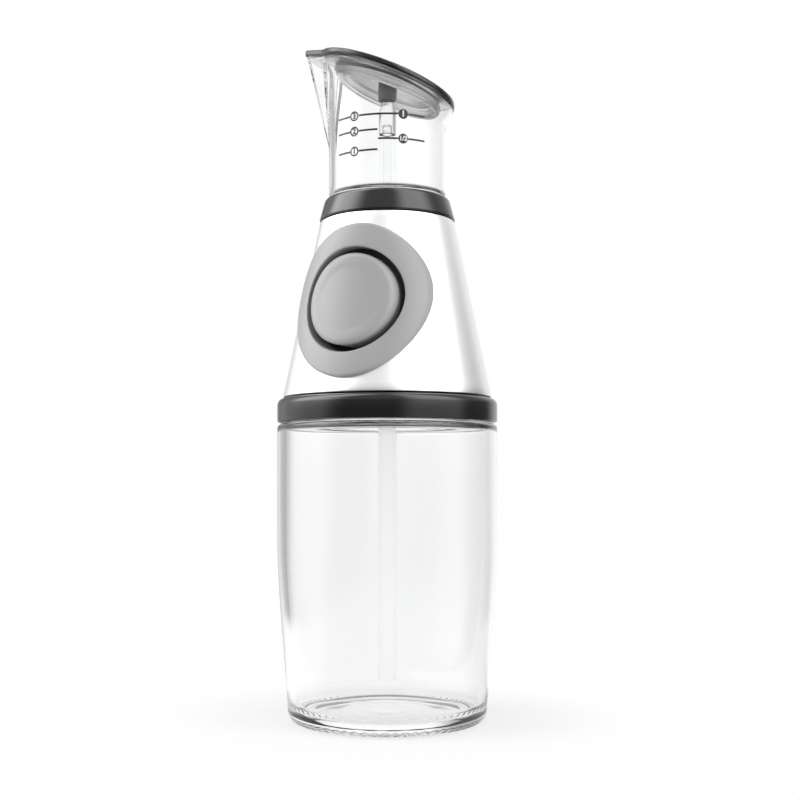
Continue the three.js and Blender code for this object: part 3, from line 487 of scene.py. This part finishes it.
# button: polar grid about its axis; the face keeps a lift above the cone, sinks a little inside the dish circle
# and rolls over at the edge, then the skirt, its stop flange and the hollow behind are turned profiles
def buttonGrid():
    b = button
    angle = fullTurn(b["sides"])[None]
    flatOut = np.linspace(0, 1, 26)[:, None] * (b["radius"] - b["edge"])
    bend = np.linspace(0, np.pi / 2, 9)[1:, None]
    reach = np.concatenate([flatOut, b["radius"] - b["edge"] * (1 - np.sin(bend))])
    dishIn, dishOut = [b["dishRadius"] + ease for ease in b["dishEase"]]
    dip = b["dish"] * (1 - smooth(dishIn, dishOut, flatOut))
    lift = np.concatenate([b["proud"] - dip, b["proud"] - b["edge"] * (1 - np.cos(bend))])
    x, z = reach * np.cos(angle), b["height"] + reach * np.sin(angle)
    front = np.stack([x, coneFront(x, z, lift), z], -1)
    back = b["flangeBack"]
    rest, cavity, rodEnd = back - b["flangeThick"], back - b["cavityDepth"], back - b["rodDepth"]
    skirt = rounded([[b["radius"], rest], [b["flange"], rest], [b["flange"], back], [b["skirt"], back],
                     [b["skirt"], cavity], [b["rodHole"], cavity], [b["rodHole"], rodEnd], [0, rodEnd]],
                    [0.2, 0.3, 0.3, 0.3, 0.6, 0.2, 0.1, 0], 3)
    return np.concatenate([front, spunAlongButton(skirt, b["sides"])])


piece("buttonCap", skin("buttonCap", buttonGrid(), loop=False), "button", "grey_plastic", ["button_cap"])

boot = dict(outer=15.9, inner=14.2, back=-20.2, front=-22.3, fold=0.25, thick=0.55, sides=128)


# boot: thin ring with one soft fold, turned about the button's axis
def bootMesh():
    b = boot
    middle = (b["outer"] + b["inner"]) / 2
    outline = [[b["outer"], b["back"]], [b["outer"], b["back"] - b["thick"]],
               [middle, b["back"] - b["thick"] - b["fold"]], [b["inner"], b["front"]],
               [b["inner"], b["front"] + b["thick"]], [middle, b["back"] - b["fold"]]]
    soft = rounded(outline, [0.15, 0.15, 0.5, 0.15, 0.15, 0.5], 4)
    return skin("buttonBoot", spunAlongButton(soft, b["sides"]))


bootPiece = piece("buttonBoot", bootMesh(), None, "dark_silicone", ["button_boot"])
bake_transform(bootPiece)

spring = dict(radius=5.1, wire=0.45, front=-23.15, back=-13.55, coils=4.0, steps=160, sides=10)


# spring: a small circle carried along a helix about the button's axis, with both ends drawn to a point
def springMesh():
    s = spring
    t = np.linspace(0, 1, s["steps"])
    wind = 2 * np.pi * s["coils"] * t
    path = np.stack([s["radius"] * np.cos(wind), s["front"] + (s["back"] - s["front"]) * t,
                     button["height"] + s["radius"] * np.sin(wind)], 1)
    out = np.stack([np.cos(wind), 0 * t, np.sin(wind)], 1)
    ring = fullTurn(s["sides"])
    size = s["wire"] * np.where((t == 0) | (t == 1), 0, 1)[:, None, None]
    axis = np.array([0, 1, 0])
    grid = path[:, None] + size * (out[:, None] * np.cos(ring)[None, :, None] + axis * np.sin(ring)[None, :, None])
    return skin("returnSpring", grid, loop=False)


springPiece = piece("returnSpring", springMesh(), None, "screw_steel", ["return_spring"])
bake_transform(springPiece)

ringTop = dict(bore=13.1, plug=20.3, plugFoot=152.3, foot=158.3, top=165.4, footRadius=21.7, topRadius=19.75,
               lipBore=16.9, lipFoot=162.2, inner=18.4, flangeTop=154.6, topRound=1.5, footRound=0.5, sides=192)


# upper ring: closed profile, tapered outside, with the plug that sits in the shell below
def ringMesh():
    r = ringTop
    outline = [[r["bore"], r["plugFoot"]], [r["plug"], r["plugFoot"]], [r["plug"], r["foot"]],
               [r["footRadius"], r["foot"]], [r["topRadius"], r["top"]], [r["lipBore"], r["top"]],
               [r["lipBore"], r["lipFoot"]], [r["inner"], r["lipFoot"]], [r["inner"], r["flangeTop"]],
               [r["bore"], r["flangeTop"]]]
    radii = [0.2, 0.3, 0.2, r["footRound"], r["topRound"], 0.3, 0.2, 0.2, 0.3, 0.2]
    return skin("upperRing", spun(rounded(outline, radii, 6), r["sides"]))


piece("upperRing", ringMesh(), "head", "black_gloss", ["upper_ring"])
print("head made")

cup = dict(turn=16.0, radius=18.55, topRadius=18.7, wall=1.5, foot=165.6, floorTop=166.7, floorUnder=165.3,
           floorRound=1.1, hole=3.0, spigot=16.6, spigotBore=14.8, spigotFoot=159.0, groove=15.8, grooveLow=162.75,
           grooveHigh=164.45, rim=202.09, rimRoll=((0.2, 0.1), (0.5, 0.15), (1.0, 0.15), (1.3, 0.1)), slope=0.38,
           flare=2.6, flareHeight=6.0, reach=25.9, nose=2.4, noseInset=0.6, corner=24.0, spoutFoot=181.4,
           crowding=0.78, rowCrowding=1.4, columns=320, rows=40)


# angles about the cup, crowded together at the spout: pi ((1 - crowding) t + crowding t^3), t from -1 to 1
def cupAngles():
    t = np.linspace(-1, 1, cup["columns"], endpoint=False)
    return np.pi * ((1 - cup["crowding"]) * t + cup["crowding"] * t ** 3)


# radius of the cup's outline at an angle from the spout: the round wall, or where it is further out the wedge
# whose flanks run from the corner points to a small nose circle; share is how far up the wedge the point is
def cupReach(away, radius, share, reach, nose, rimRadius):
    corner = math.radians(cup["corner"])
    base = cup["radius"]
    cornerX = share * rimRadius * math.cos(corner) + (1 - share) * base
    cornerY = np.maximum(share * rimRadius * math.sin(corner), 1e-6)
    size = np.maximum(share * nose, 1e-6)
    centre = share * (reach - nose) + (1 - share) * base
    gapX = cornerX - centre
    normal = np.arctan2(cornerY, gapX) - np.arccos(np.clip(size / np.hypot(gapX, cornerY), -1, 1))
    flank = (centre * np.cos(normal) + size) / np.maximum(np.cos(np.abs(away) - normal), 0.05)
    touch = np.arctan2(size * np.sin(normal), centre + size * np.cos(normal))
    tip = centre * np.cos(away) + np.sqrt(np.maximum(size ** 2 - (centre * np.sin(away)) ** 2, 0))
    wedge = np.where(np.abs(away) < touch, tip, flank)
    wedge = np.where(np.abs(away) < np.arctan2(cornerY, cornerX), wedge, 0)
    return np.maximum(radius, wedge * (share > 1e-4))


# wall of the cup: rows climb from a level ring to the slanted rim, the round part flares near the top and the
# spout grows out of it in a straight line; inset moves the wall inwards for the inside, and lift raises its rim
def cupWall(up, foot, inset, lift=0.0):
    away = cupAngles()[None]
    rimRadius = cup["topRadius"] + cup["flare"] - inset
    tip, nose = cup["reach"] - inset, cup["nose"] - cup["noseInset"] * inset
    rimReach = cupReach(away, rimRadius, np.ones_like(away), tip, nose, rimRadius)
    rimHeight = cup["rim"] + lift + cup["slope"] * rimReach * np.cos(away)
    z = foot + (rimHeight - foot) * up[:, None]
    body = cup["radius"] + (cup["topRadius"] - cup["radius"]) * up[:, None] - inset
    spread = np.clip(1 - (rimHeight - z) / cup["flareHeight"], 0, 1) ** 2
    wedgeFoot = cup["spoutFoot"] + inset
    share = np.clip((z - wedgeFoot) / (rimHeight - wedgeFoot), 0, 1)
    reach = cupReach(away, body + cup["flare"] * spread, share, tip, nose, rimRadius)
    return placed(reach, away, z)


# from angle away from the spout to the frame, the spout being turned from -x by the cup's own turn
def placed(reach, away, z):
    angle = np.pi + math.radians(cup["turn"]) + away
    return np.stack([reach * np.cos(angle), reach * np.sin(angle), z + 0 * angle], -1)


# level rings about the cup's axis, one for each profile point (radius, height)
def cupRings(profile):
    profile = np.asarray(profile, float)
    return placed(profile[:, :1], cupAngles()[None], profile[:, 1:])


# cup: its turned foot, then the wall up, the rolled rim, the wall down inside and the floor
def cupGrid():
    c = cup
    start = c["floorTop"] + c["floorRound"]
    lower = rounded([[c["hole"], c["floorTop"]], [c["hole"], c["floorUnder"]], [c["spigotBore"], c["floorUnder"]],
                     [c["spigotBore"], c["spigotFoot"]], [c["spigot"], c["spigotFoot"]],
                     [c["spigot"], c["grooveLow"]], [c["groove"], c["grooveLow"]], [c["groove"], c["grooveHigh"]],
                     [c["spigot"], c["grooveHigh"]], [c["spigot"], c["foot"]], [c["radius"], c["foot"]],
                     [c["radius"], start]],
                    [0.2, 0.2, 0.6, 0.3, 0.3, 0.1, 0.1, 0.1, 0.1, 0.2, 0.6, 0], 3)[2:-4]
    up = 1 - (1 - np.linspace(0, 1, c["rows"])) ** c["rowCrowding"]
    outer = cupWall(up, start, 0)
    top = np.concatenate([cupWall(np.ones(1), start, inset, lift) for inset, lift in c["rimRoll"]])
    inner = cupWall(up[::-1], start, c["wall"])
    bend = np.linspace(0, np.pi / 2, 7)[1:]
    bore = c["radius"] - c["wall"]
    floor = np.stack([bore - c["floorRound"] * (1 - np.cos(bend)), start - c["floorRound"] * np.sin(bend)], 1)
    across = run((bore - c["floorRound"], c["floorTop"]), (c["hole"] + 0.2, c["floorTop"]), 5)[1:]
    return np.concatenate([cupRings(lower), outer, top, inner, cupRings(floor), cupRings(across)])


piece("measuringCup", skin("measuringCup", cupGrid()), "cup", "clear_plastic", ["measuring_cup"])

column = dict(radius=2.7, tip=2.2, tipFoot=194.0, top=198.85, foot=148.9, spigot=3.6, flange=5.0, flangeTop=164.9,
              flangeFoot=162.9, bore=1.3, boreTop=189.3, split=186.4, portHeight=188.0, port=1.0, taper=1.0,
              overrun=1.0, sides=64)


# outlet column, lower part: closed profile about a round bore, with the flange that holds the cup
def columnMesh():
    c = column
    outline = rounded([[c["bore"], c["split"]], [c["bore"], c["foot"]], [c["spigot"], c["foot"]],
                       [c["spigot"], c["flangeFoot"]], [c["flange"], c["flangeFoot"]],
                       [c["flange"], c["flangeTop"]], [c["radius"], c["flangeTop"]], [c["radius"], c["split"]]],
                      [0.1, 0.2, 0.3, 0.2, 0.3, 0.3, 0.3, 0.1], 4)
    return skin("outletColumn", spun(outline, c["sides"]))


# outlet column, head: closed profile with a blind bore, and the port drilled through its wall
def columnHeadMesh():
    c = column
    outline = rounded([[0, c["boreTop"]], [c["bore"], c["boreTop"]], [c["bore"], c["split"]],
                       [c["radius"], c["split"]], [c["radius"], c["tipFoot"]],
                       [c["tip"], c["tipFoot"] + c["taper"]], [c["tip"], c["top"]], [0, c["top"]]],
                      [0, 0.4, 0.2, 0.3, 0.6, 0.6, 0.4, 0], 4)
    reach = c["radius"] + c["overrun"]
    drill = spun([[0, 0], [c["port"], 0], [c["port"], reach], [0, reach]], 32)
    drill = np.stack([drill[..., 0], -drill[..., 2], drill[..., 1] + c["portHeight"]], -1)
    turned = math.radians(cup["turn"])
    drill[..., :2] = drill[..., :2] @ np.array([[math.cos(turned), math.sin(turned)],
                                                [-math.sin(turned), math.cos(turned)]])
    return bored(skin("columnHead", spun(outline, c["sides"]), loop=False), skin("drill", drill, loop=False))


piece("outletColumn", columnMesh(), "cup", "clear_plastic", ["outlet_column"], "clear_column")
piece("columnHead", columnHeadMesh(), "cup", "clear_plastic", ["outlet_column"], "clear_column_head")

lid = dict(radius=21.4, reach=26.6, nose=2.4, under=202.39, thick=2.5, plug=16.4, plugWall=1.8,
           plugDepth=4.0, edge=0.7, crown=0.35, boss=3.2, bossDepth=0.6)


# lid: polar rows over the outline of a circle with a pouring nose, all slanted by the slope; the top is a little
# crowned, the rim rolls over, and the plug ring hangs below
def lidGrid():
    d = lid
    away = cupAngles()[None]
    one = np.ones_like(away)
    edge = cupReach(away, d["radius"] * one, one, d["reach"], d["nose"], d["radius"])
    bend = np.linspace(0, np.pi / 2, 6)[:, None]
    top, under = d["under"] + d["thick"], d["under"]
    out = np.linspace(0, 1, 16)[:, None]
    rows = [((edge - d["edge"]) * out, (top - d["crown"] * out ** 2) * one),
            (edge - d["edge"] * (1 - np.sin(bend)), (top - d["crown"] - d["edge"] * (1 - np.cos(bend))) * one),
            (edge - d["edge"] * (1 - np.cos(bend)), (under + d["edge"] * (1 - np.sin(bend))) * one)]
    foot = under - d["plugDepth"]
    inner = d["plug"] - d["plugWall"]
    hang = rounded([[d["plug"] + 2, under], [d["plug"], under], [d["plug"], foot], [inner, foot], [inner, under],
                    [d["boss"], under - d["bossDepth"]], [0, under - d["bossDepth"]]],
                   [0, 0.3, 0.5, 0.5, 2.0, 1.0, 0], 4)[5:]
    rows.append((hang[:, :1] * one, hang[:, 1:] * one))
    reach, z = [np.concatenate(part) for part in zip(*rows)]
    return placed(reach, away, z + cup["slope"] * reach * np.cos(away))


piece("lid", skin("lid", lidGrid(), loop=False), "lid", "smoked_plastic", ["lid"])

stub = dict(radius=2.95, socket=2.4, foot=197.2, grip=2.0, top=202.4, sides=64)


# stub under the lid: turned profile with a socket for the column, its top slanted to meet the lid
def stubMesh():
    s = stub
    outline = rounded([[0, s["foot"] + s["grip"]], [s["socket"], s["foot"] + s["grip"]], [s["socket"], s["foot"]],
                       [s["radius"], s["foot"]], [s["radius"], s["top"]], [0, s["top"]]],
                      [0, 0.3, 0.2, 0.5, 0.2, 0], 4)
    grid = spun(outline, s["sides"])
    slantwards = math.radians(180 + cup["turn"])
    share = smooth(s["foot"] + s["grip"], s["top"], grid[..., 2])
    forward = grid[..., 0] * math.cos(slantwards) + grid[..., 1] * math.sin(slantwards)
    grid[..., 2] += share * cup["slope"] * forward
    return skin("lidStopper", grid, loop=False)


piece("lidStopper", stubMesh(), "lid", "dark_silicone", ["lid_stopper"], "smoked_stub")

gasket = dict(inner=15.75, outer=16.75, middle=200.39, half=0.8)


# lid seal: small rounded ring in the groove of the plug, slanted with the lid
def gasketGrid():
    g = gasket
    outline = rounded([[g["inner"], g["middle"] - g["half"]], [g["outer"], g["middle"] - g["half"]],
                       [g["outer"], g["middle"] + g["half"]], [g["inner"], g["middle"] + g["half"]]], 0.4, 4)
    away = cupAngles()[None]
    reach = outline[:, :1] + 0 * away
    return placed(reach, away, outline[:, 1:] + cup["slope"] * reach * np.cos(away))


piece("lidGasket", skin("lidGasket", gasketGrid()), "lid", "pale_silicone", ["lid_gasket"])
print("cup and lid made")

tube = dict(outer=2.85, wall=0.75, foot=13.0, top=111.9, sides=64)


# dip tube: closed ring profile, cut square at the foot
def tubeMesh():
    t = tube
    inner = t["outer"] - t["wall"]
    outline = [[inner, t["foot"]], [t["outer"], t["foot"]], [t["outer"], t["top"]], [inner, t["top"]]]
    return skin("dipTube", spun(rounded(outline, 0.2, 3), t["sides"]))


piece("dipTube", tubeMesh(), "head", "white_tube", ["dip_tube"])

scale = dict(centre=286.0, lift=0.03, thick=0.05, line=0.58, wide=46.0, label=1.52, ring=0.46, leftLabel=-25.0,
             rightLabel=23.0, innerEnd=-1.0, levels={"3": 187.9, "2": 183.2, "1": 177.1}, half=180.4, numeral=2.45,
             fraction=0.8, weight=0.04)


# lays flat print on the cup: u runs round the wall and v up it, w is the height above the surface
def onCup(u, v, w):
    share = (v - cup["floorTop"] - cup["floorRound"]) / (cup["rim"] - cup["floorTop"] - cup["floorRound"])
    radius = cup["radius"] + (cup["topRadius"] - cup["radius"]) * share
    angle = math.radians(scale["centre"]) + u / cup["radius"]
    return np.stack([(radius + scale["lift"] + w) * np.cos(angle), (radius + scale["lift"] + w) * np.sin(angle),
                     v + 0 * angle], -1)


# printed line: a flat four-sided bar carried round the cup, both ends drawn to a point
def printLine(fromAngle, toAngle, z):
    t = np.linspace(0, 1, 48)
    u = np.radians(fromAngle + (toAngle - fromAngle) * t)[:, None] * cup["radius"]
    size = np.where((t == 0) | (t == 1), 0, 1)[:, None]
    side = np.array([[-1, 1, 1, -1]]) * size * scale["line"] / 2
    height = np.array([[0, 0, 1, 1]]) * size * scale["thick"]
    return skin("line", onCup(u + 0 * side, z + side, height), loop=False)


# printed disc or ring: a flat turned profile in u and v, laid on the cup
def printDisc(u0, z, outer, inner=0.0, base=0.0):
    outline = [[inner, 0], [outer, 0], [outer, scale["thick"]], [inner, scale["thick"]]]
    flat = spun(np.array(outline) + [0, base], 40)
    return skin("disc", onCup(u0 + flat[..., 0], z + flat[..., 1], flat[..., 2]), loop=inner > 0)


# numeral: text made a mesh, centred on u and v, then laid on the cup
def printText(words, u0, z, size, base):
    curve = bpy.data.curves.new("numeral", "FONT")
    curve.body, curve.size, curve.align_x, curve.align_y = words, size, "CENTER", "CENTER"
    curve.extrude = scale["thick"] / 2
    curve.offset = size * scale["weight"]
    mesh = asMesh(inScene("numeral", curve))
    flat = np.empty(len(mesh.vertices) * 3, np.float32)
    mesh.vertices.foreach_get("co", flat)
    flat = flat.reshape(-1, 3).astype(float)
    laid = onCup(u0 + flat[:, 0], z + flat[:, 1], flat[:, 2] + scale["thick"] / 2 + base)
    mesh.vertices.foreach_set("co", (laid * mm).astype(np.float32).ravel())
    mesh.materials.clear()
    return tidied(mesh)


# the cup's printed scale: lines with ringed numerals on the left, and with filled discs on the right
def scalePrint():
    s = scale
    left, right = np.radians([s["leftLabel"], s["rightLabel"]]) * cup["radius"]
    gap = math.degrees(s["label"] / cup["radius"])
    dark, pale = [], []
    for words, z in s["levels"].items():
        end = s["rightLabel"] - gap if words == "3" else s["innerEnd"]
        dark += [printLine(-s["wide"], s["leftLabel"] - gap, z), printLine(s["leftLabel"] + gap, end, z),
                 printDisc(left, z, s["label"], s["label"] - s["ring"]),
                 printText(words, left, z, s["numeral"], 0)]
    for words, z in (("1", s["levels"]["3"]), ("1/2", s["half"])):
        dark += [printLine(s["rightLabel"] + gap, s["wide"], z), printDisc(right, z, s["label"])]
        pale += [printText(words, right, z, s["numeral"] * (1.0 if len(words) == 1 else s["fraction"]), s["thick"])]
    dark += [printLine(s["innerEnd"], s["rightLabel"] - gap, s["half"])]
    return joined("cupScale", dark), joined("cupScaleNumerals", pale)


darkMesh, paleMesh = scalePrint()
piece("cupScale", darkMesh, "cup", "dark_silicone", (), "scale_print_black")
piece("cupScaleNumerals", paleMesh, "cup", "pale_silicone", (), "scale_print_pale")
print("scale printed")

# inner solids keep their shape and take the finish of their slot
slotOf = {part["node"]: part["material_slot"] for part in frame["record"]["subparts"]}
for node, shown in frame["nodes"].items():
    shown.data.materials.clear()
    shown.data.materials.append(finishes[slotOf[node]])

# enough turns of light for thick clear walls
scene.cycles.max_bounces, scene.cycles.glossy_bounces, scene.cycles.transmission_bounces = 24, 12, 20

stage = dict(floorSize=8.0, floorDrop=0.0002, floorShade=0.7, bounce=0.7, glow=0.43, nearReach=0.036,
             farReach=0.085, skyLow=0.66, skyHigh=0.44, skyReach=(0.0, 0.8), rise=(0.04, 0.42), pivot=0.12,
             aim=0.12)
edges = dict(start=0.24, end=0.5, left=0.38, right=0.83, back=0.75, rest=0.15, clear=0.965, clearAbove=1.06,
             above=(0.02, 0.2), floorSide=(0.06, 0.3), floorClear=(0.12, 0.75), floorLift=1.035)


# how far a node tree's ray is one that sees the surroundings, straight, mirrored or through clear walls
def seen(paint):
    rays = [paint.node("ShaderNodeLightPath", out=name) for name in
            ("Is Camera Ray", "Is Glossy Ray", "Is Transmission Ray")]
    return rays, rays[0].maths("MAXIMUM", rays[0].maths("MAXIMUM", rays[0], rays[1]), rays[2])


# smooth step of a wire from one level to another
def eased(paint, value, start, end, low=0.0, high=1.0):
    return paint.node("ShaderNodeMapRange", {"interpolation_type": "SMOOTHSTEP"}, {
        0: value, 1: start, 2: end, 3: low, 4: high})


# how far a direction lies along another
def along(paint, direction, other):
    return paint.node("ShaderNodeVectorMath", {"operation": "DOT_PRODUCT"}, {0: direction, 1: other}, out="Value")


toRight = math.cos(turn), math.sin(turn), 0  # of the camera's view
toCamera = math.sin(turn), -math.cos(turn), 0


# brightness of what is seen through clear walls, by how far it lies sideways and upwards: nearly white straight
# behind, darker to either side, where the rims of the glass bend the view to, and clear again further round
def throughGlass(paint, sideways, upwards):
    level = eased(paint, upwards, *edges["above"], edges["clear"], edges["clearAbove"])
    for side, dark in ((sideways, edges["right"]), (0 - sideways, edges["left"])):
        inner = eased(paint, side, edges["start"], edges["end"], 0.0, 1 - dark)
        outer = eased(paint, side, edges["back"], 1.0, 1.0, edges["rest"])
        level = level * (1 - inner * outer)
    return level


# what polished surfaces mirror, by bearing in degrees from the camera's side, to the right: each band rises from
# the first bearing to the second, holds to the third and falls to the fourth; light is added, shade taken away
softboxes = {
    "left": dict(bearing=(-128, -105, -78, -40), low=0.3, high=5.0),
    "right": dict(bearing=(10, 38, 66, 100), low=0.0, high=3.4),
}
flags = {
    "front": dict(bearing=(-74, -52, 8, 28), low=0.85, high=0.14),
    "rightSide": dict(bearing=(74, 92, 122, 142), low=0.85, high=0.32),
    "leftSide": dict(bearing=(-220, -200, -152, -132), low=0.5, high=0.6),
}


# strength of a soft box or flag: one within its bearings, times its low at the horizon mixed with its high overhead
def strength(paint, bearing, rise, panel):
    a, b, c, d = [math.radians(v) for v in panel["bearing"]]
    within = eased(paint, bearing, a, b) * eased(paint, bearing, c, d, 1.0, 0.0)
    return within * (panel["low"] + rise * (panel["high"] - panel["low"]))


# what polished surfaces mirror from a direction: even light, less the flags, plus the soft boxes
def mirroredLevel(paint, direction):
    sideways = along(paint, direction, toRight)
    bearing = sideways.maths("ARCTAN2", sideways, along(paint, direction, toCamera))
    rise = eased(paint, paint.node("ShaderNodeSeparateXYZ", {}, {0: direction}, out="Z"), *stage["rise"])
    level = 1.0
    for flag in flags.values():
        level = level * (1 - strength(paint, bearing, rise, flag))
    for box in softboxes.values():
        level = level + strength(paint, bearing, rise, box)
    return level


# surroundings from a direction, mirrored or through clear walls; a ray through glass counts as glossy too
def surround(paint, rays, direction, sideways, upwards):
    mirror = rays[1] * (1 - rays[2])
    return mirror * mirroredLevel(paint, direction) + rays[2] * throughGlass(paint, sideways, upwards)


# a level as a grey colour
def grey(paint, level):
    return paint.node("ShaderNodeCombineColor", {}, {0: level, 1: level, 2: level})


# floor: near the bottle pale and dull, so that it takes the contact shadow, and bright enough to be white where
# nothing shades it; further off it only shines, so that it runs into the white behind
def floorFinish():
    material = bpy.data.materials.new("pale_floor")
    material.use_nodes = True
    paint = Paint(material.node_tree)
    rays, looking = seen(paint)
    place = paint.node("ShaderNodeTexCoord", out="Object")
    away = paint.node("ShaderNodeVectorMath", {"operation": "LENGTH"}, {0: place}, out="Value")
    far = eased(paint, away, stage["nearReach"], stage["farReach"])
    flat = paint.node("ShaderNodeVectorMath", {"operation": "NORMALIZE"}, {0: place})
    depth = along(paint, place, toCamera)
    spread = paint.node("ShaderNodeCombineXYZ", {}, {
        0: along(paint, place, toRight), 1: depth.maths("ABSOLUTE", depth, 0) + stage["pivot"]})
    spread = paint.node("ShaderNodeVectorMath", {"operation": "NORMALIZE"}, {0: spread})
    sideways = paint.node("ShaderNodeSeparateXYZ", {}, {0: spread}, out="X")
    sideways = sideways * eased(paint, away, *edges["floorSide"])  # close by, the floor is seen clear and even
    lift = eased(paint, away, *edges["floorClear"], edges["floorLift"], 1.0)
    around = surround(paint, rays, flat, sideways, 0.0) * lift
    nearLevel = looking * stage["glow"]
    farLevel = rays[0] + around + (1 - looking) * stage["bounce"]
    shade = paint.node("ShaderNodeBsdfDiffuse", {}, {"Color": (*[stage["floorShade"]] * 3, 1)})
    nearShine = paint.node("ShaderNodeEmission", {}, {"Color": grey(paint, nearLevel)})
    farShine = paint.node("ShaderNodeEmission", {}, {"Color": grey(paint, farLevel)})
    near = paint.node("ShaderNodeAddShader", {}, {0: shade, 1: nearShine})
    both = paint.node("ShaderNodeMixShader", {}, {0: far, 1: near, 2: farShine})
    paint.node("ShaderNodeOutputMaterial", {}, {"Surface": both})
    return material


half = stage["floorSize"] / 2
floorMesh = bpy.data.meshes.new("floor")
floorMesh.from_pydata([(-half, -half, 0), (half, -half, 0), (half, half, 0), (-half, half, 0)], [], [(0, 1, 2, 3)])
floorMesh.materials.append(floorFinish())
floor = inScene("floor", floorMesh)
floor.location.z = -stage["floorDrop"]

# sky: even for soft light, white straight behind, and the surroundings for polished and clear surfaces
world = bpy.data.worlds.new("studio")
scene.world = world
world.use_nodes = True
paint = Paint(world.node_tree)
rays, looking = seen(paint)
direction = paint.node("ShaderNodeTexCoord", out="Generated")
upwards = paint.node("ShaderNodeSeparateXYZ", {}, {0: direction}, out="Z")
soft = eased(paint, upwards, *stage["skyReach"], stage["skyLow"], stage["skyHigh"])
around = surround(paint, rays, direction, along(paint, direction, toRight), upwards)
level = rays[0] + around + (1 - looking) * soft
sky = paint.node("ShaderNodeBackground", {}, {"Color": grey(paint, level)})
paint.node("ShaderNodeOutputWorld", {}, {"Surface": sky})


# soft panel lamp that looks at the bottle; it models dull surfaces, while polished ones mirror the sky
def lamp(name, spec):
    light = bpy.data.lights.new(name, "AREA")
    light.shape, light.size, light.size_y, light.energy = "RECTANGLE", *spec["size"], spec["power"]
    made = inScene(name, light)
    bearing = turn + math.radians(spec["bearing"])
    away, up = spec["away"], spec["up"]
    made.location = (away * math.sin(bearing), -away * math.cos(bearing), up)
    made.rotation_euler = (math.atan2(away, up - stage["aim"]), 0, bearing)
    made.visible_camera = made.visible_glossy = made.visible_transmission = False


lamps = {
    "keyLeft": dict(bearing=-80, away=1.1, up=0.5, size=(0.7, 0.9), power=7.4),
    "fillRight": dict(bearing=62, away=1.1, up=0.4, size=(0.5, 0.9), power=6.8),
}
for name, spec in lamps.items():
    lamp(name, spec)
print("stage lit")

bpy.context.view_layer.update()
